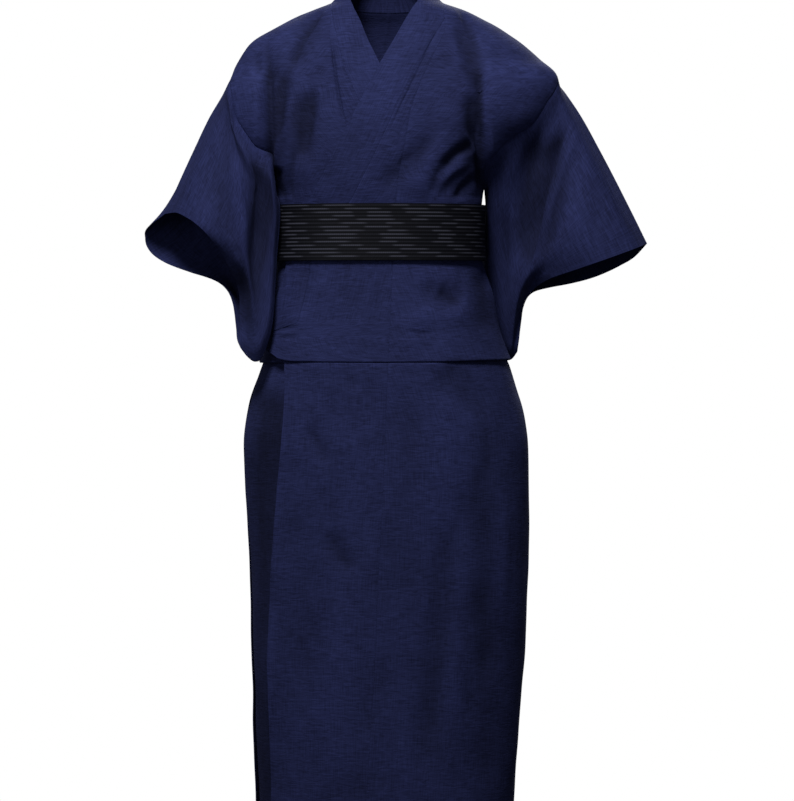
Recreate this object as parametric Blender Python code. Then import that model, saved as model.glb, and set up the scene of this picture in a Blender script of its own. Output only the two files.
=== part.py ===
"""Cotton yukata robe, worn left over right, with its belt.

Every cloth piece is a wall on one garment surface.  The surface is a stack
of rounded rings from the hem to the neck.  Pieces are regions of it, cut
along the seam lines tabled below, and layers lie over each other by lifting
them along the surface's own normal.  Sizes are millimetres, turned into
metres when a mesh is written.  The wearer faces -Y, so +X is the wearer's
left; the origin is the middle of the neck opening at shoulder height.
"""
import bpy
import numpy as np

MM = 0.001

CLOTH = 1.5            # wall of one cloth layer
COLLAR = 2.2           # wall of the collar, cloth folded over itself
OBI = 1.8              # wall of one turn of the belt
OBI_AIR = 0.5          # air between the belt's turns
SEAM = 0.3             # gap kept between two sewn pieces
OVER = 4.4             # lift of the outer layer over the inner one
COLLAR_WIDTH = 57.0    # finished collar
Z_TOP = -3.0           # top of the body pieces, at the neck point
NAPE_DROP = 11.0       # how much lower the neckline sits at the centre back
Z_ARM = -124.0         # top of the sleeve seam
Z_PIT = -310.0         # bottom of the armhole
Z_OBI_TOP = -336.0
Z_OBI_LOW = -431.0
Z_TUCK = -594.0        # fold-over across the hips
TUCK_LAP = 13.5        # how far the fold-over hangs over itself
TUCK_OUT = 6.6         # how far it stands out
Z_HEM = -1386.0

# height, middle, half width, half depth and squareness of the rings
RING_COLUMNS = ("z", "cx", "cy", "a", "b", "n")
RINGS = (
    (4.0, 11.0, 14.0, 78.0, 59.0, 2.0),
    (-3.0, 12.0, 14.0, 93.0, 62.0, 2.0),
    (-13.0, 14.0, 12.0, 121.0, 66.0, 2.05),
    (-33.0, 13.0, 12.0, 163.0, 76.0, 2.1),
    (-66.0, 7.0, 11.0, 217.0, 88.0, 2.2),
    (-99.0, 13.0, 9.0, 248.0, 97.0, 2.3),
    (-124.0, 21.0, 7.0, 266.0, 103.0, 2.3),
    (-160.0, 15.0, 4.0, 263.0, 110.0, 2.3),
    (-188.0, 9.0, 2.0, 254.0, 114.0, 2.3),
    (-223.0, -3.0, 1.0, 227.0, 117.0, 2.3),
    (-256.0, -6.0, 0.0, 200.0, 118.0, 2.3),
    (-290.0, -5.0, 0.0, 179.0, 117.0, 2.25),
    (-310.0, -4.0, 0.0, 171.0, 116.0, 2.2),
    (-336.0, -3.0, 0.0, 166.0, 113.0, 2.2),
    (-385.0, -3.0, 0.0, 165.0, 112.0, 2.2),
    (-431.0, -3.0, 0.0, 167.0, 113.0, 2.2),
    (-480.0, 0.0, 0.0, 178.0, 118.0, 2.2),
    (-560.0, 2.0, 0.0, 183.0, 123.0, 2.2),
    (-610.0, 4.0, 0.0, 200.0, 129.0, 2.25),
    (-660.0, 6.0, 0.0, 220.0, 137.0, 2.3),
    (-716.0, 7.0, 0.0, 231.0, 141.0, 2.3),
    (-802.0, 10.0, 0.0, 231.0, 143.0, 2.3),
    (-944.0, 12.0, 0.0, 227.0, 143.0, 2.3),
    (-1063.0, 11.0, 0.0, 224.0, 142.0, 2.3),
    (-1204.0, 8.0, 0.0, 217.0, 141.0, 2.3),
    (-1322.0, 6.0, 0.0, 211.0, 140.0, 2.3),
    (-1386.0, 5.0, 0.0, 209.0, 140.0, 2.3),
)

# seam lines seen from the front: height, x
LEFT_COLLAR_SEAM = ((-3, 102), (-13, 105), (-31, 106), (-81, 78), (-124, 54), (-177, 27),
                    (-236, 0), (-297, -30), (-325, -44), (-380, -78), (-434, -112),
                    (-535, -127), (-562, -130))
LEFT_FREE_EDGE = ((0, 62), (-13, 53), (-33, 41), (-66, 23), (-107, 0), (-214, -56),
                  (-335, -117), (-380, -135), (-432, -149), (-521, -168), (-562, -177),
                  (-590, -178), (-602, -151), (-698, -156), (-802, -165), (-863, -170),
                  (-967, -177), (-1086, -180), (-1180, -177), (-1322, -175), (-1386, -174))
LEFT_OKUMI_SEAM = ((-31, 107), (-53, 106), (-137, 67), (-180, 51), (-241, 40), (-292, 30),
                   (-328, 26), (-602, 13), (-815, 5), (-944, -2), (-1063, -7), (-1157, -12),
                   (-1299, -21), (-1386, -27))
RIGHT_COLLAR_SEAM = ((-3, -78), (-16, -79), (-40, -76), (-116, -58), (-165, -35), (-236, -1),
                     (-297, 30), (-325, 44), (-380, 76), (-434, 106), (-535, 121), (-562, 124))
RIGHT_FREE_EDGE = ((0, -48), (-13, -43), (-33, -33), (-66, -20), (-107, 0), (-214, 56),
                   (-335, 113), (-380, 129), (-432, 142), (-521, 162), (-562, 171),
                   (-602, 176), (-716, 187), (-944, 190), (-1204, 184), (-1386, 180))
RIGHT_OKUMI_SEAM = ((-12, -80), (-59, -83), (-104, -77), (-149, -68), (-213, -54),
                    (-280, -38), (-330, -26), (-602, -8), (-815, 4), (-1063, 14), (-1386, 26))

# armhole: height, angle round the ring where the sleeve is sewn on
ARMHOLE = ((-124, 90), (-135, 77), (-150, 71.5), (-170, 68.5), (-192, 66.5), (-216, 62.5),
           (-241, 60.5), (-266, 64), (-290, 75), (-303, 83), (-310, 90))

# neck part of the collar: angle of the seam, then its free edge
NECK_COLUMNS = ("angle", "x", "y", "z")
LEFT_NECK = ((75, 63, -35, 2), (100, 68, -8, 22), (125, 60, 24, 34), (152, 40, 48, 40),
             (180, 10, 60, 42))
RIGHT_NECK = ((75, -47, -35, 2), (100, -49, -8, 22), (125, -41, 24, 34), (152, -21, 48, 40),
              (180, 10, 60, 42))

# largest folds: side seen, start x and z, end x and z, half width, depth out
FOLD_COLUMNS = ("side", "x0", "z0", "x1", "z1", "width", "depth")
FOLDS = (
    ("front", -93, -22, -146, -116, 14, -4.5),
    ("front", -129, -160, -121, -275, 18, -6.5),
    ("front", -172, -92, -168, -285, 14, -7.0),
    ("front", 128, -30, 170, -175, 14, -8.0),
    ("front", 160, -165, 154, -290, 14, -7.0),
    ("front", 94, -224, -3, -318, 17, -4.5),
    ("front", 122, -236, 48, -322, 17, 3.5),
    ("front", 156, -262, 92, -322, 15, -4.0),
    ("front", 96, -478, 134, -494, 20, -4.0),
    ("front", 30, -536, 142, -512, 18, 3.5),
    ("front", -118, -700, -78, -768, 17, -2.5),
    ("front", -84, -872, -46, -944, 18, -3.0),
    ("front", 96, -680, 128, -1240, 34, 4.0),
    ("front", 168, -700, 176, -1280, 24, -4.0),
    ("front", -60, -1010, -70, -1320, 32, 3.5),
    ("back", -78, -150, -36, -322, 20, -4.5),
    ("back", 84, -150, 40, -322, 20, -4.5),
    ("back", -130, -180, -118, -300, 18, 4.0),
    ("back", 132, -180, 112, -300, 18, 4.0),
    ("back", -120, -650, -134, -1310, 30, 5.0),
    ("back", -46, -690, -52, -1330, 26, -4.0),
    ("back", 58, -660, 64, -1290, 28, 5.0),
    ("back", 136, -700, 146, -1320, 26, -4.5),
)

# sleeves: k runs from the seam to the cuff; a ring hangs from its top point
# over the arm to its elbow point and on down to the bag's bottom; it stands
# front and back by "half", and the last four columns move its two sides
SLEEVE_COLUMNS = ("k", "top_x", "top_y", "top_z", "elbow_x", "elbow_z", "low_x", "low_y", "low_z",
                  "half", "front_x", "front_z", "back_x", "back_z")
LEFT_SLEEVE = (
    (0.06, 296, 4, -135, 226, -262, 184, -6, -338, 58, 0, 0, 0, 0),
    (0.16, 308, 0, -152, 222, -320, 190, 20, -425, 62, 0, 0, 0, 0),
    (0.32, 334, -4, -191, 224, -400, 199, 46, -530, 68, 0, 0, 0, 0),
    (0.50, 363, -10, -244, 228, -440, 208, 50, -580, 72, 0, 0, 0, 0),
    (0.68, 392, -15, -300, 232, -458, 214, 46, -592, 74, 0, 0, 0, -5),
    (0.86, 421, -20, -358, 237, -467, 221, 40, -590, 72, 1, -1, 1, -14),
    (1.00, 442, -24, -401, 241, -471, 228, 32, -580, 66, 2, -2, 2, -24),
)
RIGHT_SLEEVE = (
    (0.06, -252, 4, -135, -209, -262, -184, -24, -338, 58, 0, 0, 0, 0),
    (0.16, -261, 0, -154, -204, -320, -178, -58, -425, 62, 0, 0, 0, 0),
    (0.32, -283, -6, -192, -207, -390, -176, -90, -530, 68, 0, 0, 0, 0),
    (0.50, -306, -14, -241, -215, -430, -192, -92, -586, 71, 1, 2, -8, -3),
    (0.68, -327, -20, -287, -226, -448, -205, -90, -597, 72, 4, 8, -28, -7),
    (0.86, -346, -26, -330, -237, -456, -219, -84, -588, 70, 9, 15, -50, -14),
    (1.00, -356, -30, -352, -243, -457, -230, -78, -574, 66, 13, 20, -71, -20),
)
ELBOW = 0.62           # where on its way down a ring has its elbow
ELBOW_SOFT = 0.16
# how far the ring stands out on its way down, as a share of "half"
RING_SHAPE = ((0.0, 0.0), (0.059, 0.56), (0.14, 0.80), (0.25, 0.96), (0.36, 1.0), (0.49, 0.93),
              (0.62, 0.76), (0.76, 0.52), (0.89, 0.32), (0.96, 0.19), (1.0, 0.0))
# the same at the cuff, where the part below the elbow is sewn shut
CUFF_SHAPE = ((0.0, 0.0), (0.059, 0.56), (0.14, 0.84), (0.25, 1.0), (0.36, 0.94), (0.49, 0.66),
              (0.62, 0.24), (0.76, 0.07), (0.89, 0.05), (0.96, 0.05), (1.0, 0.0))
# deep folds of the sleeves: side, start x z, end x z, width, depth
LEFT_SLEEVE_FOLDS = (("front", 313, -224, 262, -440, 15, -11.0),
                     ("front", 222, -190, 212, -420, 16, 5.0),
                     ("back", 300, -220, 236, -500, 16, -8.0))
RIGHT_SLEEVE_FOLDS = (("front", -240, -190, -214, -430, 14, 5.0),
                      ("front", -205, -240, -205, -520, 12, -5.0),
                      ("back", -280, -220, -230, -500, 16, -7.0))

ROWS_YOKE = (-3, -9, -18, -31, -48, -70, -96, -110, -124)
ROWS_ARM = (-124, -135, -150, -170, -192, -216, -241, -266, -290, -303, -310)
ROWS_WAIST = (-322, -336, -360, -385, -410, -431, -446, -466, -490, -516, -535, -549, -562, -574)
ROWS_SKIRT = (-620, -652, -695, -750, -815, -885, -960, -1040, -1120, -1200, -1270, -1330,
              -1386)


def smooth(value, start, end):
    """Rises from 0 at start to 1 at end with soft ends."""
    t = np.clip((np.asarray(value, float) - start) / (end - start), 0.0, 1.0)
    return t * t * (3.0 - 2.0 * t)


def curve(table, at, column=1):
    """Cubic through the table's rows, its tangents from the rows beside."""
    rows = np.array(sorted(((r[0], r[column]) for r in table)), float)
    xs, ys = rows[:, 0], rows[:, 1]
    slope = np.gradient(ys, xs)
    at = np.clip(np.asarray(at, float), xs[0], xs[-1])
    i = np.clip(np.searchsorted(xs, at, side="right") - 1, 0, len(xs) - 2)
    h = xs[i + 1] - xs[i]
    t = (at - xs[i]) / h
    return ((1 + 2 * t) * (1 - t) ** 2 * ys[i] + t * (1 - t) ** 2 * h * slope[i]
            + t * t * (3 - 2 * t) * ys[i + 1] - t * t * (1 - t) * h * slope[i + 1])


def line(table, z):
    """x of a seam line at a height, straight between its rows."""
    rows = np.array(sorted(table), float)
    return np.interp(z, rows[:, 0], rows[:, 1])


def ring(z):
    """The five ring sizes at a height."""
    return [curve(RINGS, z, c) for c in range(1, 6)]


def bare(theta, z):
    """Point of the ring surface; theta is 0 at the front, + to the wearer's left."""
    cx, cy, a, b, n = ring(z)
    s, c = np.sin(theta), np.cos(theta)
    x = cx + a * np.sign(s) * np.abs(s) ** (2.0 / n)
    y = cy - b * np.sign(c) * np.abs(c) ** (2.0 / n)
    return np.stack(np.broadcast_arrays(x, y, z), -1)


def normal(theta, z):
    """Unit normal of the ring surface, pointing out of the garment."""
    e = 1e-3
    along = bare(theta + e, z) - bare(theta - e, z)
    up = bare(theta, z + 0.8) - bare(theta, z - 0.8)
    out = np.cross(along, up)
    return out / np.maximum(np.linalg.norm(out, axis=-1, keepdims=True), 1e-12)


def folds(points, cos_side, table):
    """Sum of soft troughs and ridges along the table's lines."""
    x, z = points[..., 0], points[..., 2]
    total = np.zeros(x.shape)
    for side, x0, z0, x1, z1, width, depth in table:
        dx, dz = x1 - x0, z1 - z0
        length = np.hypot(dx, dz)
        t = ((x - x0) * dx + (z - z0) * dz) / length ** 2
        off = np.abs((x - x0) * dz - (z - z0) * dx) / length
        fade = smooth(t, -0.08, 0.25) * (1.0 - smooth(t, 0.72, 1.08))
        facing = cos_side if side == "front" else -cos_side
        total += depth * np.exp(-(off / width) ** 2) * fade * smooth(facing, 0.02, 0.3)
    return total


def surface(theta, z, lift):
    """Point of the garment lifted off the ring surface, its folds included."""
    base = bare(theta, z)
    free = 1.0 - smooth(z, -452, -436) * (1.0 - smooth(z, -334, -322))
    depth = folds(base, np.cos(theta), FOLDS) * free
    return base + normal(theta, z) * (depth + lift)[..., None]


def angle_of(x, z):
    """Angle on the front half for a given x."""
    cx, cy, a, b, n = ring(z)
    share = np.clip((np.asarray(x, float) - cx) / a, -0.9999, 0.9999)
    return np.sign(share) * np.arcsin(np.abs(share) ** (n / 2.0))


def over_lift(theta, z):
    """Lift of the left side's cloth, which passes over the right side's."""
    rise = 1.0 - smooth(z, -96, -34)
    under = blouse(z) * (1.0 - smooth(-z, 602, 660))
    return (OVER * rise + under) * (1.0 - smooth(np.degrees(theta), 76, 150))


def tuck_rows():
    """The fold-over's section: height and stand-out of the wall's inner face."""
    low, top = Z_TUCK - 4.5, Z_TUCK - 4.5 + TUCK_LAP
    far, near = TUCK_OUT, TUCK_OUT - 1.1
    return ((-584.0, far), (-592.0, far), (low + 0.5, far), (low, far - 0.55),
            (low + 0.5, near), (low + 5.0, near), (top - 2.5, near), (top - 0.6, 0.78 * near),
            (top, 0.5 * near), (top - 0.6, 0.22 * near), (top - 2.5, 0.0), (top - 8.0, 0.0),
            (-602.0, 0.0), (-608.0, 0.0))


def blouse(z):
    """Cloth stands out more and more from the belt down to the fold-over."""
    return TUCK_OUT * smooth(-z, -Z_OBI_LOW + 10, -Z_TUCK - 20)


def body_rows():
    """Section rows from neck to hem: height and stand-out."""
    upper = list(ROWS_YOKE) + list(ROWS_ARM[1:]) + list(ROWS_WAIST)
    rows = [(float(z), float(blouse(z))) for z in upper]
    return rows + list(tuck_rows()) + [(float(z), 0.0) for z in ROWS_SKIRT]


def section(rows):
    """Heights, stand-outs and wall directions of the rows, across and up."""
    height = np.array([r[0] for r in rows])
    stand = np.array([r[1] for r in rows])
    dz, ds = np.gradient(height), np.gradient(stand)
    size = np.maximum(np.hypot(dz, ds), 1e-9)
    near = np.abs(height - Z_TUCK) < 24.0
    return height, stand, np.where(near, -dz / size, 1.0), np.where(near, ds / size, 0.0)


def lay(thetas, height, stand, way, side, lift):
    """One row of points; way is the wall's direction across and up."""
    base_lift = over_lift(thetas, height) if side == "left" else np.zeros(thetas.shape)
    return surface(thetas, height + way[1] * lift, base_lift + stand + way[0] * lift)


def solid(name, outer, inner, faces, colour):
    """Closed wall from outer and inner points that share one face list."""
    count = len(outer)
    quads = [tuple(f) for f in faces]
    seen = {}
    for f in quads:
        for a, b in zip(f, f[1:] + f[:1]):
            seen[(a, b)] = seen.get((a, b), 0) + 1
    rim = [(a, b) for (a, b) in seen if (b, a) not in seen]
    flat = []
    for a, b, c, d in quads:
        if np.linalg.norm(outer[a] - outer[c]) <= np.linalg.norm(outer[b] - outer[d]):
            flat += [(a, b, c), (a, c, d)]
        else:
            flat += [(a, b, d), (b, c, d)]
    every = flat + [(count + a, count + c, count + b) for a, b, c in flat]
    for a, b in rim:
        every += [(b, a, count + a), (b, count + a, count + b)]
    points = np.concatenate([outer, inner]) * MM
    mesh = bpy.data.meshes.new(name)
    mesh.from_pydata([tuple(p) for p in points], [], every)
    mesh.validate()
    mesh.update()
    thing = bpy.data.objects.new(name, mesh)
    bpy.context.scene.collection.objects.link(thing)
    paint = bpy.data.materials.new(name + "_cloth")
    paint.use_nodes = True
    shader = paint.node_tree.nodes["Principled BSDF"]
    shader.inputs["Base Color"].default_value = (*colour, 1.0)
    shader.inputs["Roughness"].default_value = 0.9
    mesh.materials.append(paint)
    return thing


def grid_faces(rows, cols, flip=False):
    """Quads of a grid whose rows go down and whose columns go +theta."""
    out = []
    for i in range(rows - 1):
        for j in range(cols - 1):
            a, b = i * cols + j, i * cols + j + 1
            c, d = a + cols, b + cols
            out.append((a, b, d, c) if flip else (a, c, d, b))
    return out


def grid_normal(points, closed=False):
    """Normals of a grid of points, from the points beside."""
    down = np.gradient(points, axis=0)
    if closed:
        across = np.roll(points, -1, axis=1) - np.roll(points, 1, axis=1)
    else:
        across = np.gradient(points, axis=1)
    out = np.cross(down, across)
    return out / np.maximum(np.linalg.norm(out, axis=-1, keepdims=True), 1e-12)


NAVY = (0.020, 0.024, 0.075)
BLACK = (0.010, 0.010, 0.013)


def side_lines(side):
    """Sign and seam lines of one side."""
    if side == "left":
        return 1.0, LEFT_COLLAR_SEAM, LEFT_FREE_EDGE, LEFT_OKUMI_SEAM
    return -1.0, RIGHT_COLLAR_SEAM, RIGHT_FREE_EDGE, RIGHT_OKUMI_SEAM


def body(side):
    """One length of cloth, front hem over the shoulder to back hem."""
    sign, collar_line, _, okumi_line = side_lines(side)
    split = -30.0 if side == "left" else -17.0
    rows = body_rows()
    front_cols, back_cols = 10, 10
    gap = 0.5 * SEAM
    layers = {}
    for lift, key in ((CLOTH, "outer"), (0.0, "inner")):
        front, back = [], []
        heights, stands, across, up = section(rows)
        around = np.linspace(0.0, 1.0, back_cols)
        for i, z in enumerate(heights):
            x_in = line(collar_line if z > split else okumi_line, z)
            inner_edge = angle_of(x_in + sign * (gap + 0.05), z)
            cx, cy, a, b, n = ring(z)
            if z >= Z_ARM:
                outer_edge = back_edge = np.radians(90.0)
            elif z > Z_PIT + 0.01:
                outer_edge = np.radians(curve(ARMHOLE, z))
                back_edge = np.pi - outer_edge
            else:
                outer_edge = np.radians(90.0) - 1.3 * gap / b
                back_edge = np.pi - outer_edge
            th = inner_edge + (sign * outer_edge - inner_edge) * np.linspace(0, 1, front_cols)
            way = (across[i], up[i])
            front.append(lay(th, np.full(th.shape, z), stands[i], way, side, lift))
            middle = np.pi - gap / a
            th = sign * (back_edge + (middle - back_edge) * around)
            drop = NAPE_DROP * smooth(np.abs(th), np.pi / 2, np.pi) * smooth(z, -60, Z_TOP)
            back.append(lay(th, z - drop, stands[i], way, side, lift))
        layers[key] = (np.array(front), np.array(back))
    count = len(rows)
    shared = sum(1 for r in rows if r[0] >= Z_ARM)
    faces = grid_faces(count, front_cols, flip=(side == "right"))
    offset = count * front_cols
    number = {}
    for i in range(count):
        for j in range(back_cols):
            if j == 0 and i < shared:
                number[(i, j)] = i * front_cols + front_cols - 1
            else:
                number[(i, j)] = offset
                offset += 1
    for i in range(count - 1):
        for j in range(back_cols - 1):
            quad = (number[(i, j)], number[(i + 1, j)], number[(i + 1, j + 1)], number[(i, j + 1)])
            faces.append(quad if side == "left" else quad[::-1])
    keep = np.array([not (j == 0 and i < shared) for i in range(count) for j in range(back_cols)])
    stacks = []
    for key in ("outer", "inner"):
        f, b = layers[key]
        stacks.append(np.concatenate([f.reshape(-1, 3), b.reshape(-1, 3)[keep]]))
    solid(side + "_body", stacks[0], stacks[1], faces, NAVY)


def okumi(side):
    """The front overlap strip, from its point at the collar to the hem."""
    sign, collar_line, free_line, okumi_line = side_lines(side)
    left = side == "left"
    top = -34.0 if left else -22.0
    rows = [(top, 0.0)] + [r for r in body_rows() if r[0] < top]
    cols = 6
    heights, stands, across, up = section(rows)
    layers = []
    for lift in (CLOTH, 0.0):
        grid = []
        for i, z in enumerate(heights):
            gap = 0.5 * SEAM + 0.05
            share = smooth(z, -562, -535)
            edge_x = line(collar_line, z) * share + line(free_line, z) * (1.0 - share)
            start = angle_of(line(okumi_line, z) - sign * gap, z)
            end = angle_of(edge_x + sign * gap * share, z)
            th = end + (start - end) * np.linspace(0.0, 1.0, cols)
            grid.append(lay(th, np.full(cols, z), stands[i], (across[i], up[i]), side, lift))
        layers.append(np.array(grid))
    faces = grid_faces(len(rows), cols, flip=not left)
    solid(side + "_okumi", layers[0].reshape(-1, 3), layers[1].reshape(-1, 3), faces, NAVY)


def collar_rows(side):
    """Rows of the collar from its lower end to the nape, seam side first."""
    sign, seam_line, free_line, _ = side_lines(side)
    left = side == "left"
    neck = LEFT_NECK if left else RIGHT_NECK
    w = np.linspace(0.0, 1.0, 4)
    rows = []
    pairs = [(-533.5, -558.5), (-516.0, -528.0), (-490.0, -494.0)]
    heights = {float(z) for z in ROWS_WAIST if z > -480} | {float(z) for z in ROWS_ARM}
    heights |= {float(z) for z in ROWS_YOKE if z < -20}
    pairs += [(z, z) for z in sorted(heights)] + [(-18.0, -16.0), (-9.0, -5.0), (-3.0, 2.0)]
    for z_seam, z_free in pairs:
        z = z_seam + (z_free - z_seam) * w
        th_seam = angle_of(line(seam_line, z_seam) - sign * (0.5 * SEAM + 0.05), z_seam)
        th_free = angle_of(line(free_line, z_free), z_free)
        th = th_seam + (th_free - th_seam) * w
        lift = blouse(z) + (over_lift(th, z) if left else 0.0)
        rows.append(surface(th, z, lift + COLLAR))
    for deg in np.concatenate([[82.5], np.linspace(90.0, 180.0, 10)]):
        th = np.radians(deg) * sign
        drop = NAPE_DROP * smooth(np.abs(th), np.pi / 2, np.pi)
        seam = surface(np.array([th]), np.array([Z_TOP - drop]), np.array([CLOTH]))[0]
        free = np.array([float(curve(neck, deg, c)) for c in (1, 2, 3)])
        seam = seam + (free - seam) * (1.2 / COLLAR_WIDTH)
        bulge = np.sin(np.pi * w)[:, None] * np.array([0.05 * (seam[0] - 10.0), 0.03 * seam[1], 0.0])
        rows.append(seam + (free - seam) * w[:, None] + bulge)
    return np.array(rows)


def collar():
    """The band from the left front round the neck to the right front."""
    left, right = collar_rows("left"), collar_rows("right")
    grid = np.concatenate([left, right[::-1][1:]])
    inner = grid - grid_normal(grid) * COLLAR
    faces = grid_faces(len(grid), grid.shape[1])
    solid("collar", grid.reshape(-1, 3), inner.reshape(-1, 3), faces, NAVY)


def sleeve(side):
    """The folded rectangle: rings from the armhole to the open cuff."""
    left = side == "left"
    sign = 1.0 if left else -1.0
    table = LEFT_SLEEVE if left else RIGHT_SLEEVE
    creases = LEFT_SLEEVE_FOLDS if left else RIGHT_SLEEVE_FOLDS
    z0 = np.array(ROWS_ARM, float)
    u = (Z_ARM - z0) / (Z_ARM - Z_PIT)
    edge = np.radians(curve(ARMHOLE, z0))
    edge[0] = edge[-1] = np.radians(90.0)
    go = np.concatenate([edge, (np.pi - edge)[-2:0:-1]])
    zz = np.concatenate([z0, z0[-2:0:-1]])
    th = sign * go
    base = over_lift(th, zz) if left else np.zeros(th.shape)
    first = surface(th, zz, base + CLOTH)
    uu = np.concatenate([u, u[-2:0:-1]])
    facing = np.concatenate([-np.ones(len(u)), np.ones(len(u) - 2)])
    facing[0] = facing[len(u) - 1] = 0.0
    open_shape, cuff_shape = curve(RING_SHAPE, uu), curve(CUFF_SHAPE, uu)
    top, low = first[0], first[len(u) - 1]
    stray = first - (top + (low - top) * uu[:, None])
    rings, ks = [first], [0.0]
    for row in table:
        k, tx, ty, tz, ex, ez, lx, ly, lz, half, fx, fz, bx, bz = [float(v) for v in row]
        top, low = np.array([tx, ty, tz]), np.array([lx, ly, lz])
        elbow = np.array([ex, ty + 0.5 * (ly - ty), ez])
        grown, shut = float(smooth(k, 0.0, 0.32)), float(smooth(k, 0.55, 1.0))
        past = uu - ELBOW
        ramp = np.where(past > ELBOW_SOFT, past,
                        np.clip(past + ELBOW_SOFT, 0.0, None) ** 2 / (4 * ELBOW_SOFT))[:, None]
        ramp *= (1.0 - ELBOW) / max(ramp[len(u) - 1, 0], 1e-6)
        pts = top + (elbow - top) / ELBOW * (uu[:, None] - ramp) + (low - elbow) / (1.0 - ELBOW) * ramp
        shape = open_shape * (1.0 - shut) + cuff_shape * shut
        pts[:, 1] += facing * half * shape * grown
        pts += stray * (1.0 - grown)
        move = shape
        is_front = facing < 0
        pts[:, 0] += np.where(is_front, fx, bx) * move * np.abs(facing)
        pts[:, 2] += np.where(is_front, fz, bz) * move * np.abs(facing)
        rings.append(pts)
        ks.append(k)
    rings, ks = np.array(rings), np.array(ks)
    slope = np.gradient(rings, ks, axis=0)
    want = np.array([0.0, 0.03, 0.06, 0.11, 0.16, 0.24, 0.32, 0.40, 0.48, 0.56, 0.65, 0.74, 0.83,
                     0.92, 1.0])
    i = np.clip(np.searchsorted(ks, want, side="right") - 1, 0, len(ks) - 2)
    h = (ks[i + 1] - ks[i])[:, None, None]
    t = ((want - ks[i]) / (ks[i + 1] - ks[i]))[:, None, None]
    grid = ((1 + 2 * t) * (1 - t) ** 2 * rings[i] + t * (1 - t) ** 2 * h * slope[i]
            + t * t * (3 - 2 * t) * rings[i + 1] - t * t * (1 - t) * h * slope[i + 1])
    out_way = -grid_normal(grid, closed=True) * sign
    amount = folds(grid, -np.broadcast_to(facing, grid.shape[:2]) * 1.0, creases)
    amount *= smooth(want, 0.0, 0.12)[:, None]
    grid = grid + out_way * amount[..., None]
    along = np.roll(grid[0], -1, axis=0) - np.roll(grid[0], 1, axis=0)
    aside = np.cross(along, normal(th, zz)) * -sign
    aside /= np.linalg.norm(aside, axis=-1, keepdims=True)
    low = smooth(-zz, 258, 296)[:, None]
    edge = surface(th, zz, base + CLOTH + 0.55 * low[:, 0])
    grid[0] = edge + aside * (SEAM + 0.1) * (1.0 - low)
    out_way = -grid_normal(grid, closed=True) * sign
    inner = grid - out_way * CLOTH
    inner[0] = inner[0] * low + (surface(th, zz, base) + aside * (SEAM + 0.1)) * (1.0 - low)
    rows, cols = grid.shape[:2]
    faces = []
    for r in range(rows - 1):
        for c in range(cols):
            d = (c + 1) % cols
            quad = (r * cols + c, (r + 1) * cols + c, (r + 1) * cols + d, r * cols + d)
            faces.append(quad[::-1] if sign > 0 else quad)
    solid(side + "_sleeve", grid.reshape(-1, 3), inner.reshape(-1, 3), faces, NAVY)


def obi_lift(theta):
    """Inner side of the belt's first turn, clear of every layer beneath."""
    deg = (np.degrees(theta) + 180.0) % 360.0 - 180.0
    high = np.where(deg < 0, 1.0 - smooth(-deg, 66, 104), 1.0 - smooth(deg, 80, 156))
    return 2.4 + 4.8 * high


def obi_band():
    """Two turns of the belt, wound round the waist over the layers."""
    turns = np.radians(np.arange(-165.0, 516.0, 10.0))
    z = np.array([Z_OBI_TOP, -360.0, -385.0, -408.0, Z_OBI_LOW])
    th, zz = np.meshgrid(turns, z)
    wound = (th + np.pi) / (2 * np.pi) * (OBI + OBI_AIR)
    layers = []
    for lift in (OBI, 0.0):
        base = bare(th, zz) + normal(th, zz) * (obi_lift(th) + wound + lift)[..., None]
        layers.append(base)
    faces = grid_faces(*th.shape)
    solid("obi_band", layers[0].reshape(-1, 3), layers[1].reshape(-1, 3), faces, BLACK)


def back_patch(name, corners, lift, wall, rows, cols):
    """A flat strip of the belt laid over the back: corners as x, z, lifted."""
    tl, tr, br, bl = [np.array(c, float) for c in corners]
    v, u = np.meshgrid(np.linspace(0, 1, rows), np.linspace(0, 1, cols), indexing="ij")
    flat = ((1 - v) * (1 - u))[..., None] * tl + ((1 - v) * u)[..., None] * tr \
        + (v * u)[..., None] * br + (v * (1 - u))[..., None] * bl
    x, z = flat[..., 0], flat[..., 1]
    cx, cy, a, b, n = ring(z)
    th = np.pi + np.arcsin(np.clip((cx - x) / a, -0.95, 0.95))
    clear = obi_lift(th) + 2 * (OBI + OBI_AIR) + OBI + lift + blouse(z)
    layers = [surface(th, z, clear + add) for add in (wall, 0.0)]
    solid(name, layers[0].reshape(-1, 3), layers[1].reshape(-1, 3), grid_faces(rows, cols), BLACK)


def main():
    for thing in list(bpy.data.objects):
        bpy.data.objects.remove(thing, do_unlink=True)
    for side in ("left", "right"):
        body(side)
        okumi(side)
        sleeve(side)
    collar()
    obi_band()
    back_patch("obi_end_upper", ((118, -262), (34, -218), (2, -372), (62, -404)), 0.8, 2.6, 8, 6)
    back_patch("obi_end_lower", ((-8, -376), (-56, -346), (-112, -470), (-26, -500)), 0.8, 2.6, 8, 6)
    back_patch("obi_knot", ((58, -330), (-40, -322), (-60, -418), (42, -436)), 4.2, 2.6, 7, 7)


main()
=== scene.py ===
"""Cotton yukata robe with its belt, dressed over its CAD frame.

Laid out as a Blender add-on and run as a script.  Each cloth piece is a thin
closed shell worked out with numpy on the garment's ring surface: a stack of
rounded rings from the hem to the neck, cut along tabled seam lines.  Layers
lie over each other by a lift along the surface's own normal.  Tables are in
millimetres; the wearer faces -Y and +X is the wearer's left.
"""

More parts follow.
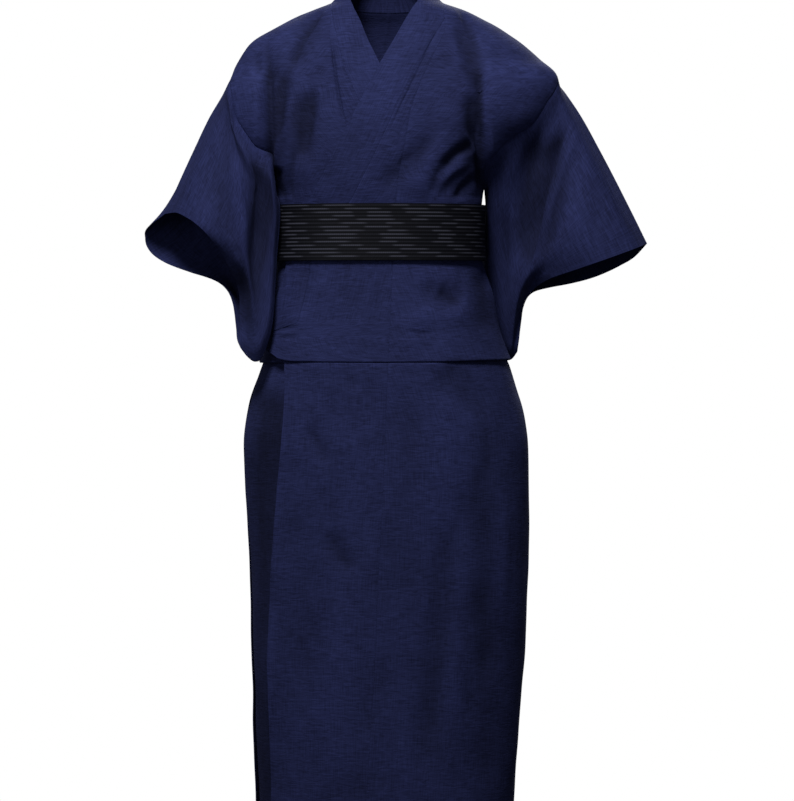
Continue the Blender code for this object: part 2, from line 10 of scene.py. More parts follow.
import bpy
import numpy as np
from bpy.props import FloatProperty, PointerProperty, StringProperty
from bpy.types import Operator, Panel, PropertyGroup
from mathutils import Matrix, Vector


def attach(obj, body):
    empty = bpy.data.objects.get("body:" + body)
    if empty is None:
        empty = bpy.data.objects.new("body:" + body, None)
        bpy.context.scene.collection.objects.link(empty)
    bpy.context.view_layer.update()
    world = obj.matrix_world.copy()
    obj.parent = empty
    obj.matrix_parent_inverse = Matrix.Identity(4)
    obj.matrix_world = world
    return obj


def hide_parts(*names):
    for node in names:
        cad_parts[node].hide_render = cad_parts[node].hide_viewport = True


bl_info = {
    "name": "Cotton Yukata Robe",
    "version": (1, 0, 0),
    "blender": (4, 5, 0),
    "location": "3D View > Sidebar > Yukata",
    "description": "Builds a worn cotton yukata and its belt as thin cloth shells",
    "category": "Object",
}

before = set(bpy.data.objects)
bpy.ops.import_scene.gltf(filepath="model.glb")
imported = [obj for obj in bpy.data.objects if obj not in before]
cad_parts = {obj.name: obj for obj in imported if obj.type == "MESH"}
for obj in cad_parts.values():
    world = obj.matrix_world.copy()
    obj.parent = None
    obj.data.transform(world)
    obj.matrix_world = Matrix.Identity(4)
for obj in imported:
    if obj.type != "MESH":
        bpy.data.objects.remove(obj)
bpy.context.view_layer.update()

SIDES = ("left", "right")
MM = 0.001

# the photograph: metres a pixel in the robe's plane, its size, the robe's middle column
PIXEL = 1.65 * MM
PHOTO_WIDE, PHOTO_HIGH = 794, 801
MIDDLE_COLUMN = 380

# metres: repeat of the dashes along the belt, and height of the floor
DASH_PERIOD = 0.086
FLOOR = -1.402

# millimetres from here on: thicknesses, gaps and widths
CLOTH = 1.5                     # a cloth piece's outer face over its base
COLLAR = 2.2                    # the same for the collar, cloth folded over itself
OBI = 1.8                       # one turn of the belt
OBI_AIR = 0.5                   # air between two turns
SEAM = 0.04                     # gap between two sewn pieces
OVER = 4.4                      # lift of the outer layer over the inner one
BELT_WIDTH = 95.0
COLLAR_WIDTH = 57.0
COLLAR_END = (-533.5, -558.5)   # heights of its lower end, at the seam and at the free edge

# heights
Z_TOP = -3.0                    # neck seam at the shoulders
NAPE_DROP = 11.0                # how much lower it is at the nape
Z_ARM = -124.0                  # top of the armhole
Z_PIT = -310.0                  # foot of the armhole
Z_OBI_TOP = -336.0
Z_OBI_LOW = -431.0
Z_TUCK = -594.0                 # lower edge of the fold-over
Z_PLAIN = -608.0                # the skirt hangs plainly below this
HEM = -1386.0

# forms
TUCK_OUT = 6.6                  # how far the fold-over stands out
TUCK_LAP = 13.5                 # how far its inner layer runs up again
PRESS = 0.36                    # share of TUCK_OUT lost over the middle of the front
DRAPE = 13.0                    # step of the cloth at the armpit fold

# the mesh: rows at these heights, height of a row, columns, points and rings of a sleeve
ROW_KNOTS = (-31.0, Z_ARM, Z_PIT, Z_OBI_TOP, Z_OBI_LOW, -500.0, -574.0)
ROW_STEP = 3.2
FRONT_COLUMNS, BACK_COLUMNS, STRIP_COLUMNS = 66, 56, 44
SLEEVE_POINTS, SLEEVE_RINGS = 110, 136
# distances of the columns next to an edge, in mm
EDGE = (0.0, 0.7, 1.6, 3.0, 5.5)
BAND_EDGE = (0.0, 0.6, 1.4, 2.6, 4.5)


def table(columns, text):
    """Rows of numbers from plain text; a line with # is a remark."""
    lines = [line for line in text.splitlines() if "#" not in line]
    return np.array(" ".join(lines).split(), float).reshape(-1, columns)


# rings: height, middle x and y, half width, half depth, squareness
RINGS = table(6, """
4 11 14 78 59 2
-3 12 14 93 62 2
-13 14 12 121 66 2.05
-33 13 12 163 76 2.1
-66 7 11 217 88 2.2
-99 13 9 248 97 2.3
-124 21 7 266 103 2.3
-160 15 4 263 110 2.3
-188 9 2 254 114 2.3
-223 -3 1 227 117 2.3
-256 -6 0 200 118 2.3
-290 -5 0 179 117 2.25
-310 -4 0 171 116 2.2
-336 -3 0 166 113 2.2
-385 -3 0 165 112 2.2
-431 -3 0 167 113 2.2
-480 0 0 178 118 2.2
-560 2 0 183 123 2.2
-610 4 0 200 129 2.25
-660 6 0 220 137 2.3
-716 7 0 231 141 2.3
-802 10 0 231 143 2.3
-944 12 0 227 143 2.3
-1063 11 0 224 142 2.3
-1204 8 0 217 141 2.3
-1322 6 0 211 140 2.3
-1386 5 0 209 140 2.3
""")

# seam lines seen from the front: height, x
LEFT_COLLAR_SEAM = table(2, """
-3 102   -13 105   -31 106   -81 78   -124 54   -177 27   -236 0
-297 -30   -325 -44   -380 -78   -434 -112   -535 -127   -562 -130
""")
LEFT_FREE_EDGE = table(2, """
0 62   -13 53   -33 41   -66 23   -107 0   -214 -56   -335 -117
-380 -135   -432 -149   -521 -168   -562 -177   -590 -178   -602 -151   -698 -156
-802 -165   -863 -170   -967 -177   -1086 -180   -1180 -177   -1322 -175   -1386 -174
""")
LEFT_OKUMI_SEAM = table(2, """
-31 107   -53 106   -137 67   -180 51   -241 40   -292 30   -328 26
-602 13   -815 5   -944 -2   -1063 -7   -1157 -12   -1299 -21   -1386 -27
""")
RIGHT_COLLAR_SEAM = table(2, """
-3 -78   -16 -79   -40 -76   -116 -58   -165 -35   -236 -1   -297 30
-325 44   -380 76   -434 106   -535 121   -562 124
""")
RIGHT_FREE_EDGE = table(2, """
0 -48   -13 -43   -33 -33   -66 -20   -107 0   -214 56   -335 113
-380 129   -432 142   -521 162   -562 171   -602 176   -716 187   -944 190
-1204 184   -1386 180
""")
RIGHT_OKUMI_SEAM = table(2, """
-12 -80   -59 -83   -104 -77   -149 -68   -213 -54   -280 -38   -330 -26
-602 -8   -815 4   -1063 14   -1386 26
""")

# armhole: height, angle round the ring
ARMHOLE = table(2, """
-124 90   -135 77   -150 71.5   -170 68.5   -192 66.5   -216 62.5
-241 60.5   -266 64   -290 75   -303 83   -310 90
""")

# neck part of the collar: angle of the seam, then its free edge x, y, z
LEFT_NECK = table(4, """
75 63 -35 2   100 68 -8 22   125 60 24 34
152 40 48 40   180 10 60 42
""")
RIGHT_NECK = table(4, """
75 -47 -35 2   100 -49 -8 22   125 -41 24 34
152 -21 48 40   180 10 60 42
""")

# the large folds that the CAD solids have too: start x z, end x z, half width, depth
FOLDS = {
    "front": table(6, """
-93 -22 -146 -116 14 -4.5
-129 -160 -121 -275 18 -6.5
-172 -92 -168 -285 14 -7
128 -30 170 -175 14 -8
160 -165 154 -290 14 -7
94 -224 -3 -318 17 -4.5
122 -236 48 -322 17 3.5
156 -262 92 -322 15 -4
96 -478 134 -494 20 -4
30 -536 142 -512 18 3.5
-118 -700 -78 -768 17 -2.5
-84 -872 -46 -944 18 -3
96 -680 128 -1240 34 4
168 -700 176 -1280 24 -4
-60 -1010 -70 -1320 32 3.5
"""),
    "back": table(6, """
-78 -150 -36 -322 20 -4.5
84 -150 40 -322 20 -4.5
-130 -180 -118 -300 18 4
132 -180 112 -300 18 4
-120 -650 -134 -1310 30 5
-46 -690 -52 -1330 26 -4
58 -660 64 -1290 28 5
136 -700 146 -1320 26 -4.5
"""),
}

# finer creases, each bent through a middle point: start x z, middle x z, end x z,
# half width, depth, lean (which side falls off more steeply)
CREASES = {
    "front": table(9, """
# wearer's right shoulder and chest
-84 -4 -126 -66 -149 -136 5.5 -5 0.45
-189 -58 -185 -104 -188 -150 3.5 -3 0
-201 -84 -196 -124 -187 -160 7 -5 0.3
-185 -70 -184 -205 -182 -345 5 -11 -0.3
-157 -100 -168 -127 -187 -164 4.5 3 -0.2
-152 -100 -163 -165 -178 -258 10 -6 -0.2
-143 -155 -158 -205 -180 -276 7 3 0
-117 -140 -114 -196 -146 -290 13 -7 0.3
-138 -240 -145 -290 -144 -345 5 -4 0.2
-166 -272 -168 -303 -160 -340 9 -6 0
-180 -300 -173 -322 -162 -340 3.5 3 0
-92 -250 -82 -286 -88 -322 7 -1 0.3
-80 -50 -71 -138 -52 -232 2.6 -3.4 0
100 -34 60 -124 6 -236 2.4 -1.6 0
# wearer's left shoulder and chest
124 -2 153 -56 167 -128 5.5 -5.5 0.45
165 -96 166 -160 165 -225 4.5 -6.5 0.4
150 -150 153 -200 160 -262 12 -8 0.25
165 -180 165 -260 164 -345 5 -10 0.3
136 -214 152 -240 167 -270 3.2 4 0
160 -247 124 -257 90 -300 10 -10.5 0.3
122 -212 86 -248 72 -292 8 2 0
158 -270 116 -286 87 -330 7 3.5 0
168 -284 136 -308 118 -344 8 -6 -0.2
97 -276 90 -300 86 -328 4.5 -2.5 0.2
58 -256 42 -266 28 -280 6 -1.4 0.2
108 -34 124 -84 130 -140 9 1.4 -0.2
184 -72 196 -106 200 -150 9 -1.4 0.3
92 -150 84 -196 96 -232 9 -1 0.3
# between belt and fold-over
-122 -430 -118 -470 -124 -526 12 -2.5 0.2
-162 -540 -144 -544 -124 -540 3.5 -1.6 0.2
-160 -556 -142 -560 -122 -554 3.5 -1.6 0.2
-154 -548 -140 -552 -126 -548 3 1.2 0
-62 -436 -50 -470 -58 -520 7 -0.9 0.3
-20 -438 -12 -480 -24 -536 8 0.8 0
44 -440 56 -470 50 -506 7 -1 0.4
60 -466 100 -490 134 -512 16 -5 0.2
41 -546 66 -551 90 -546 2.8 -1.8 0.3
110 -438 118 -462 112 -484 7 1.5 0
158 -440 168 -500 160 -570 15 -7 0.2
6 -560 40 -568 76 -562 6 0.8 0.3
# skirt
-116 -704 -98 -736 -80 -764 8 -1.8 0.3
-84 -876 -64 -912 -48 -944 8 -1.8 0.3
-60 -624 -44 -632 -24 -634 8 -1.8 0.2
90 -740 66 -1040 30 -1330 26 3 0.4
150 -950 172 -1040 160 -1130 22 -3 0
-40 -660 -34 -720 -44 -790 12 1 0
40 -630 52 -700 44 -800 14 -1.4 0.2
92 -660 120 -780 112 -900 12 1.6 0.3
150 -640 176 -720 170 -830 10 -1.8 0.3
60 -960 78 -1050 66 -1160 14 1.4 0
132 -980 146 -1090 140 -1230 12 -1.8 0.3
-110 -980 -120 -1090 -108 -1200 13 -1.3 0.2
-30 -1120 -24 -1210 -36 -1330 13 -1.4 0.3
30 -1190 40 -1270 30 -1386 12 1.3 0
196 -780 204 -900 198 -1050 9 1.8 0.3
-196 -700 -204 -820 -200 -960 8 -1.6 0.2
-186 -980 -192 -1100 -188 -1260 9 1.5 0
20 -612 60 -618 110 -612 7 -1 0.2
-130 -612 -90 -622 -40 -612 7 -1 0.2
124 -770 104 -1010 74 -1300 40 -6 0.5
96 -604 130 -640 168 -700 26 -5 0
-160 -640 -164 -800 -176 -1000 6 2.6 -0.4
-172 -960 -178 -1100 -178 -1300 6 2.4 -0.4
"""),
    "back": table(9, """
-150 -70 -120 -110 -112 -170 10 -2.2 0.3
158 -70 126 -112 118 -172 10 -2.2 0.3
-60 -60 -52 -110 -58 -170 12 1.4 0
70 -66 60 -120 66 -180 12 1.2 0
-112 -200 -76 -270 -52 -326 8 -2.2 0.4
120 -210 82 -276 56 -328 8 -2 0.4
-84 -230 -60 -282 -30 -330 7 1.6 0
92 -224 58 -286 28 -330 7 1.8 0
-150 -220 -140 -276 -146 -326 7 -2 0.3
152 -226 142 -280 148 -328 7 -2 0.3
-20 -180 -12 -250 -18 -322 9 -1.2 0.2
-140 -440 -120 -490 -126 -548 8 -1.6 0.3
-70 -440 -60 -480 -66 -540 8 1.4 0.2
60 -440 66 -484 60 -546 8 -1.5 0.3
128 -438 122 -486 130 -540 8 1.5 0.2
-150 -620 -166 -740 -158 -880 12 -2 0.3
-84 -640 -92 -780 -84 -960 14 -1.8 0.2
20 -640 14 -760 22 -900 14 1.6 0
98 -630 104 -760 96 -930 12 -2 0.3
176 -650 186 -800 180 -980 11 1.8 0.2
-176 -960 -184 -1100 -176 -1290 12 1.8 0
-16 -980 -22 -1120 -14 -1330 14 1.5 0.2
100 -1020 112 -1160 104 -1350 12 -1.8 0.3
-90 -1060 -82 -1190 -92 -1360 12 -1.6 0.3
"""),
}

# sleeves: a ring hangs from its top point over the arm to its elbow point and
# on down to the bag's bottom.  Columns: share of the way to the cuff, top x y z,
# elbow x z, low x y z, how far it stands out front and back, and how far its
# front and its back are moved in x and z
LEFT_SLEEVE = table(14, """
0.06 296 4 -135 226 -262 175 36 -338 58 0 0 0 0
0.16 308 0 -152 221 -320 170 64 -432 62 0 0 0 0
0.32 334 -4 -191 222 -400 182 66 -530 68 0 0 0 0
0.5 363 -10 -244 227 -440 201 58 -580 72 0 0 0 0
0.68 392 -15 -300 232 -458 214 46 -592 74 0 0 0 -5
0.86 421 -20 -358 237 -467 221 40 -590 72 1 -1 1 -14
1 442 -24 -401 241 -471 228 32 -580 66 2 -2 2 -24
""")
RIGHT_SLEEVE = table(14, """
0.06 -252 4 -135 -209 -262 -165 -60 -338 58 0 0 0 0
0.16 -261 0 -154 -204 -320 -170 -72 -432 62 0 0 0 0
0.32 -283 -6 -192 -207 -390 -176 -90 -530 68 0 0 0 0
0.5 -306 -14 -241 -215 -430 -192 -92 -586 71 1 2 -8 -3
0.68 -327 -20 -287 -226 -448 -205 -90 -597 72 4 8 -28 -7
0.86 -346 -26 -330 -237 -456 -219 -84 -588 70 9 15 -50 -14
1 -356 -30 -352 -243 -457 -230 -78 -574 66 13 20 -71 -20
""")
ELBOW = 0.62
ELBOW_SOFT = 0.16
RING_SHAPE = table(2, """
0 0   0.059 0.56   0.14 0.8   0.25 0.96   0.36 1   0.49 0.93
0.62 0.76   0.76 0.52   0.89 0.32   0.96 0.19   1 0
""")
CUFF_SHAPE = table(2, """
0 0   0.059 0.56   0.14 0.84   0.25 1   0.36 0.94   0.49 0.66
0.62 0.24   0.76 0.07   0.89 0.05   0.96 0.05   1 0
""")
LEFT_SLEEVE_FOLDS = {
    "front": table(6, """
313 -224 262 -440 15 -11
222 -190 212 -420 16 5
"""),
    "back": table(6, """
300 -220 236 -500 16 -8
"""),
}
RIGHT_SLEEVE_FOLDS = {
    "front": table(6, """
-240 -190 -214 -430 14 5
-205 -240 -205 -520 12 -5
"""),
    "back": table(6, """
-280 -220 -230 -500 16 -7
"""),
}
LEFT_SLEEVE_CREASES = {
    "front": table(9, """
320 -196 274 -305 240 -470 8 -16 0.65
334 -206 292 -306 258 -450 8 7 0
292 -212 250 -320 226 -460 26 -12 0.3
166 -248 203 -210 256 -180 2 -1.7 0
170 -256 208 -217 260 -186 2 -1.7 0
168 -252 206 -213 258 -183 2.4 1.4 0
258 -148 284 -136 306 -122 2 -1.2 0
272 -154 294 -144 312 -130 2 -1.2 0
262 -176 262 -236 250 -300 8 -2.4 0.3
236 -190 232 -262 236 -340 9 2 0.2
340 -226 338 -300 316 -400 12 2.2 0
372 -284 364 -340 352 -410 12 -1.6 0.2
214 -330 208 -420 210 -540 7 -2.6 0.4
226 -300 222 -400 222 -470 7 1.8 0
284 -150 300 -184 318 -214 8 -1.8 0.3
330 -200 352 -236 380 -262 7 -1.2 0.3
400 -340 392 -376 384 -412 10 1.2 0
"""),
    "back": table(9, """
300 -200 284 -320 244 -470 8 -3.6 0.5
340 -230 330 -320 306 -420 12 2.4 0
252 -190 246 -280 236 -400 9 2.2 0.2
384 -300 372 -360 354 -430 11 -1.8 0.2
216 -320 212 -430 216 -550 8 -2.2 0.3
"""),
}
RIGHT_SLEEVE_CREASES = {
    "front": table(9, """
-250 -176 -226 -200 -202 -216 2.2 -1.7 0
-250 -192 -224 -215 -198 -236 2.2 -1.9 0
-250 -184 -225 -207 -200 -226 2.6 1.5 0
-236 -150 -216 -166 -198 -178 2.2 0.9 0
-240 -160 -218 -178 -198 -192 2.2 0.9 0
-206 -205 -190 -330 -186 -480 22 -11 -0.1
-200 -330 -196 -450 -200 -570 16 -6 0
-236 -430 -228 -500 -212 -576 20 -9 0.2
-262 -230 -256 -320 -236 -430 18 -4 0.3
-256 -140 -248 -215 -240 -300 22 -6 0
-232 -196 -226 -280 -212 -384 7 -2.8 0.4
-276 -210 -278 -270 -262 -352 11 -1.6 0.2
-300 -256 -304 -310 -296 -362 11 1.8 0
-206 -330 -200 -420 -202 -530 7 -3.2 0.5
-216 -420 -212 -480 -216 -560 7 2.4 0
-240 -400 -226 -430 -220 -470 6 -2.2 0.4
-252 -148 -268 -186 -288 -216 8 -1.6 0.3
-330 -310 -336 -340 -338 -368 10 -1 0.2
-196 -250 -194 -330 -192 -420 6 -2.2 0.4
"""),
    "back": table(9, """
-272 -200 -262 -320 -234 -460 8 -3.2 0.5
-312 -250 -312 -330 -296 -410 11 2.2 0
-236 -190 -228 -290 -216 -400 8 2 0.2
-344 -330 -338 -380 -326 -430 10 -1.6 0.2
-206 -330 -202 -430 -208 -550 8 -2.2 0.3
"""),
}


# The garment's surface

def smooth(value, start, end):
    """Rises from 0 at start to 1 at end with soft ends."""
    t = np.clip((np.asarray(value, float) - start) / (end - start), 0.0, 1.0)
    return t * t * (3.0 - 2.0 * t)


def cubic(xs, ys, at):
    """Hermite cubics through ys at xs, their tangents from the values beside."""
    slope = np.gradient(ys, xs, axis=0)
    at = np.clip(np.asarray(at, float), xs[0], xs[-1])
    i = np.clip(np.searchsorted(xs, at, side="right") - 1, 0, len(xs) - 2)
    shape = at.shape + (1,) * (ys.ndim - 1)
    h = (xs[i + 1] - xs[i]).reshape(shape)
    t = (at - xs[i]).reshape(shape) / h
    return ((1 + 2 * t) * (1 - t) ** 2 * ys[i] + t * (1 - t) ** 2 * h * slope[i]
            + t * t * (3 - 2 * t) * ys[i + 1] - t * t * (1 - t) * h * slope[i + 1])


def curve(rows, at, column=1):
    """Cubic through one column of a table over its first."""
    rows = rows[np.argsort(rows[:, 0])]
    return cubic(rows[:, 0], rows[:, column], at)


def line(rows, z):
    """x of a seam line at a height, straight between its rows."""
    rows = rows[np.argsort(rows[:, 0])]
    return np.interp(z, rows[:, 0], rows[:, 1])


def ring(z):
    """The five ring sizes at a height."""
    return [curve(RINGS, z, c) for c in range(1, 6)]


def bare(theta, z):
    """Superellipse: x = cx + a sin^(2/n), y = cy - b cos^(2/n), signs kept."""
    cx, cy, a, b, n = ring(z)
    s, c = np.sin(theta), np.cos(theta)
    x = cx + a * np.sign(s) * np.abs(s) ** (2.0 / n)
    y = cy - b * np.sign(c) * np.abs(c) ** (2.0 / n)
    return np.stack(np.broadcast_arrays(x, y, z), -1)


def normal(theta, z):
    """Unit normal of the ring surface: tangent round it crossed with tangent up."""
    e = 1e-3
    along = bare(theta + e, z) - bare(theta - e, z)
    up = bare(theta, z + 0.8) - bare(theta, z - 0.8)
    out = np.cross(along, up)
    return out / np.maximum(np.linalg.norm(out, axis=-1, keepdims=True), 1e-12)


def by_side(tables, facing_front):
    """Each row of the front and back tables with how much the cloth faces that side."""
    for side, facing in (("front", facing_front), ("back", -facing_front)):
        for row in tables[side]:
            yield facing, row


def folds(points, facing_front, tables):
    """Straight troughs and ridges: depth * exp(-(distance / width)^2), faded at both ends."""
    x, z = points[..., 0], points[..., 2]
    total = np.zeros(x.shape)
    for facing, (x0, z0, x1, z1, width, depth) in by_side(tables, facing_front):
        dx, dz = x1 - x0, z1 - z0
        length = np.hypot(dx, dz)
        t = ((x - x0) * dx + (z - z0) * dz) / length ** 2
        off = np.abs((x - x0) * dz - (z - z0) * dx) / length
        fade = smooth(t, -0.08, 0.25) * (1.0 - smooth(t, 0.72, 1.08))
        total += depth * np.exp(-(off / width) ** 2) * fade * smooth(facing, 0.02, 0.3)
    return total


def bent(start, middle, end, at):
    """Quadratic through three values at 0, 1/2 and 1."""
    return ((1 - at) ** 2 * start + 2 * at * (1 - at) * (2 * middle - 0.5 * (start + end))
            + at ** 2 * end)


def creases(points, facing_front, tables):
    """Bent creases: the distance to a quadratic curve in eight straight steps.

    Depth is exp(-(distance / width)^2) with the width of one side made smaller
    and of the other larger by lean, and it swells in the middle of its length.
    """
    x, z = points[..., 0], points[..., 2]
    total = np.zeros(x.shape)
    steps = np.linspace(0.0, 1.0, 9)
    for facing, row in by_side(tables, facing_front):
        x0, z0, xm, zm, x1, z1, width, depth, lean = row
        px, pz = bent(x0, xm, x1, steps), bent(z0, zm, z1, steps)
        reach = 3.2 * width * (1 + abs(lean))
        near = ((x > px.min() - reach) & (x < px.max() + reach) & (z > pz.min() - reach)
                & (z < pz.max() + reach) & (facing > 0.0))
        if not near.any():
            continue
        qx, qz = x[near], z[near]
        best = np.full(qx.shape, 1e9)
        at, signed = np.zeros(qx.shape), np.zeros(qx.shape)
        for i in range(8):
            dx, dz = px[i + 1] - px[i], pz[i + 1] - pz[i]
            size = dx * dx + dz * dz
            raw = ((qx - px[i]) * dx + (qz - pz[i]) * dz) / size
            t = np.clip(raw, 0.0, 1.0)
            gap = np.hypot(qx - px[i] - t * dx, qz - pz[i] - t * dz)
            cross = (qx - px[i]) * dz - (qz - pz[i]) * dx
            closer = gap < best
            best = np.where(closer, gap, best)
            at = np.where(closer, (i + t) / 8.0, at)
            signed = np.where(closer, np.sign(cross), signed)
        wide = width * (1.0 + lean * signed)
        swell = smooth(at, 0.0, 0.3) * (1.0 - smooth(at, 0.68, 1.0))
        total[near] += depth * np.exp(-(best / wide) ** 2) * swell * smooth(facing[near], 0.02, 0.3)
    return total


# slow waves of hanging cotton: wave numbers across and down in 1/mm, phase, height in mm
WAVES = table(4, """
0.031 0.007 0.4 0.5   0.052 -0.013 2.1 0.34
0.019 0.029 4 0.42   0.087 0.021 1.2 0.2
-0.043 0.047 5.2 0.24   0.113 -0.039 3.3 0.14
0.066 0.083 0.9 0.14   -0.128 0.061 2.7 0.1
""")


def waves(points, facing_front):
    """Sum of slow sine waves over x and z, shifted on the back so that it differs."""
    x, z = points[..., 0], points[..., 2]
    shift = 2.3 * np.sign(facing_front) * smooth(np.abs(facing_front), 0.0, 0.25)
    total = np.zeros(x.shape)
    for across, down, phase, height in WAVES:
        total += height * np.sin(across * x + down * z + phase + shift)
    return total


def armpit_drape(x, z, front):
    """The sleeve side's cloth hangs in front of the armpit: a step outwards past the fold line.

    Height times a rise across the line, faded in down the shoulder and out at the armhole's foot.
    """
    tall = smooth(-z, 92, 160) * (1.0 - smooth(-z, 240, 294))
    ahead = DRAPE * smooth(front, 0.02, 0.3) * (smooth(-x, 186, 198) + smooth(x, 167.5, 173.5))
    behind = 0.6 * DRAPE * smooth(-front, 0.02, 0.3) * (smooth(-x, 182, 206) + smooth(x, 168, 192))
    return tall * (ahead + behind)


def relief(theta, z):
    """Sum of the folds, creases, drape and waves, in mm outwards; none under the belt."""
    base = bare(theta, z)
    front = np.cos(theta)
    free = 1.0 - smooth(z, -452, -436) * (1.0 - smooth(z, -334, -322))
    high = 1.0 - smooth(z, -26, -8)
    deep = bpy.context.scene.yukata_cloth.crease_depth
    depth = folds(base, front, FOLDS) + creases(base, front, CREASES) * deep
    depth = depth + armpit_drape(base[..., 0], base[..., 2], front)
    return (depth + waves(base, front) * high * deep) * free


def surface(theta, z, lift):
    """Ring surface moved along its normal by the relief and the lift."""
    return bare(theta, z) + normal(theta, z) * (relief(theta, z) + lift)[..., None]


def angle_of(x, z):
    """Angle on the front half for a given x."""
    cx, _, a, _, n = ring(z)
    share = np.clip((np.asarray(x, float) - cx) / a, -0.9999, 0.9999)
    return np.sign(share) * np.arcsin(np.abs(share) ** (n / 2.0))


def blouse(z):
    """Cloth stands out more and more from the belt down to the fold-over."""
    return TUCK_OUT * smooth(-np.asarray(z, float), -Z_OBI_LOW + 10, -Z_TUCK - 20)


def pressed(theta):
    """1 where the fold-over stands free, less over the middle of the front, where it lies flat."""
    deg = (np.degrees(theta) + 180.0) % 360.0 - 180.0
    return 1.0 - PRESS * np.exp(-((deg + 3.0) / 37.0) ** 4)


def under_tuck(theta, z):
    """The skirt comes out to meet the flat stretch of the fold-over and falls back below it."""
    low = smooth(-z, 598.6, 602.5) * (1.0 - smooth(-z, 612.0, 700.0))
    return 3.9 / PRESS * (1.0 - pressed(theta)) * low


def tuck_rise(theta, z):
    """The fold-over's front corner sits higher than the rest: a rise past x = -150."""
    x = bare(theta, z)[..., 0]
    near = 1.0 - smooth(np.abs(z + 596.0), 14.0, 37.0)
    return 9.0 * smooth(-x, 140.0, 182.0) * near * (np.cos(theta) > 0.0)


def fall_back(theta, z):
    """Below the fold-over the right side's cloth falls back beside the edge that covers it."""
    x = bare(theta, z)[..., 0]
    beside = smooth(-x, 120.0, 160.0) * (1.0 - smooth(-x, 196.0, 228.0))
    return -8.5 * beside * smooth(-z, 618.0, 680.0) * (np.cos(theta) > 0.0)


def over_lift(theta, z):
    """Lift of the left side's cloth, which passes over the right side's."""
    rise = 1.0 - smooth(z, -96, -34)
    under = blouse(z) * pressed(theta) * (1.0 - smooth(-np.asarray(z, float), 602, 660))
    return (OVER * rise + under) * (1.0 - smooth(np.degrees(theta), 76, 150))


# Fine rows down the garment

def tuck_rows():
    """The fold-over's section: height and stand-out of the wall's inner face."""
    low, top = Z_TUCK - 4.5, Z_TUCK - 4.5 + TUCK_LAP
    far, near = TUCK_OUT, TUCK_OUT - 1.1
    return ((-584.0, far), (-592.0, far), (low + 0.5, far), (low, far - 0.55),
            (low + 0.5, near), (low + 5.0, near), (top - 2.5, near), (top - 0.6, 0.78 * near),
            (top, 0.5 * near), (top - 0.6, 0.22 * near), (top - 2.5, 0.0), (top - 8.0, 0.0),
            (-602.0, 0.0), (Z_PLAIN, 0.0))


def fine_rows(top, step):
    """Rows from top to hem: even steps on the plain parts, a smooth path round the fold-over."""
    knots = [top] + [z for z in ROW_KNOTS if z < top]
    steps = [9.0 if a == Z_OBI_TOP else step for a in knots]
    upper = [np.linspace(a, b, max(2, int(round((a - b) / s)) + 1))[:-1]
             for a, b, s in zip(knots, knots[1:], steps)]
    z_up = np.concatenate(upper)
    fold = np.array(((ROW_KNOTS[-1], float(blouse(ROW_KNOTS[-1]))),) + tuck_rows())
    index = np.arange(len(fold), dtype=float)
    fine = np.linspace(0.0, len(fold) - 1.0, 4 * (len(fold) - 1) + 1)
    z_fold = curve(np.stack([index, fold[:, 0]], 1), fine)
    s_fold = curve(np.stack([index, fold[:, 1]], 1), fine)
    z_low = np.linspace(Z_PLAIN, HEM, int((Z_PLAIN - HEM) / (1.9 * step)) + 1)[1:]
    height = np.concatenate([z_up, z_fold, z_low])
    stand = np.concatenate([blouse(z_up), s_fold, np.zeros(len(z_low))])
    dz, ds = np.gradient(height), np.gradient(stand)
    size = np.maximum(np.hypot(dz, ds), 1e-9)
    near = np.abs(height - Z_TUCK) < 24.0
    across, up = np.where(near, -dz / size, 1.0), np.where(near, ds / size, 0.0)
    return height, stand, across, up


def spread(count, widths, edge=EDGE):
    """Shares from 0 to 1 per row, a few close to both edges, the rest even."""
    near = np.array(edge)[None, :] / widths[:, None]
    middle = np.linspace(0.0, 1.0, count - 2 * (len(edge) - 1))[1:-1][None, :]
    low, high = near[:, -1:], 1.0 - near[:, -1:]
    return np.concatenate([near, low + (high - low) * middle, 1.0 - near[:, ::-1]], axis=1)


def squeeze(share, at, much):
    """Moves shares towards at: share - much / 2 pi * (sin 2 pi (share - at) + sin 2 pi at)."""
    turn = 2 * np.pi
    return share - much / turn * (np.sin(turn * (share - at)) + np.sin(turn * at))


def row_width(start, end, z):
    """Length of each row's arc between two angles, in twenty straight steps."""
    t = np.linspace(0.0, 1.0, 21)
    theta = start[:, None] + (end - start)[:, None] * t
    points = bare(theta, np.broadcast_to(z[:, None], theta.shape))
    return np.linalg.norm(np.diff(points, axis=1), axis=-1).sum(1)


def seam_roll(share, widths, left, right):
    """Cloth dips by a third of a mm into a pressed seam and puckers a little beside it.

    left and right say whether that edge is sewn, for the whole piece or row by row.
    """
    near_left, near_right = share * widths[:, None], (1.0 - share) * widths[:, None]
    dip = np.zeros(share.shape)
    for sewn, off in ((left, near_left), (right, near_right)):
        pucker = 0.14 * np.exp(-((off - 5.0) / 3.2) ** 2)
        dip -= sewn * (0.34 * np.exp(-(off / 1.6) ** 2) - pucker)
    return dip


def lay(theta, height, stand, across, up, side, lift, dip):
    """Points of a region of the surface for one face of the wall."""
    z = np.broadcast_to(height[:, None], theta.shape) if height.ndim == 1 else height
    if side == "left":
        z = z + tuck_rise(theta, z)
    base = over_lift(theta, z) if side == "left" else fall_back(theta, z)
    stands = stand[:, None] * pressed(theta) + under_tuck(theta, z)
    return surface(theta, z + up[:, None] * lift, base + stands + across[:, None] * lift + dip)


def walked(points, axis):
    """Length walked along one axis of a grid, the mean over the other."""
    steps = np.linalg.norm(np.diff(points, axis=axis), axis=-1).mean(1 - axis)
    return np.concatenate([[0.0], np.cumsum(steps)])


def path_down(height, stand):
    """Length walked down the section, in mm, for each row."""
    steps = np.hypot(np.diff(height), np.diff(stand))
    return np.concatenate([[0.0], np.cumsum(steps)])


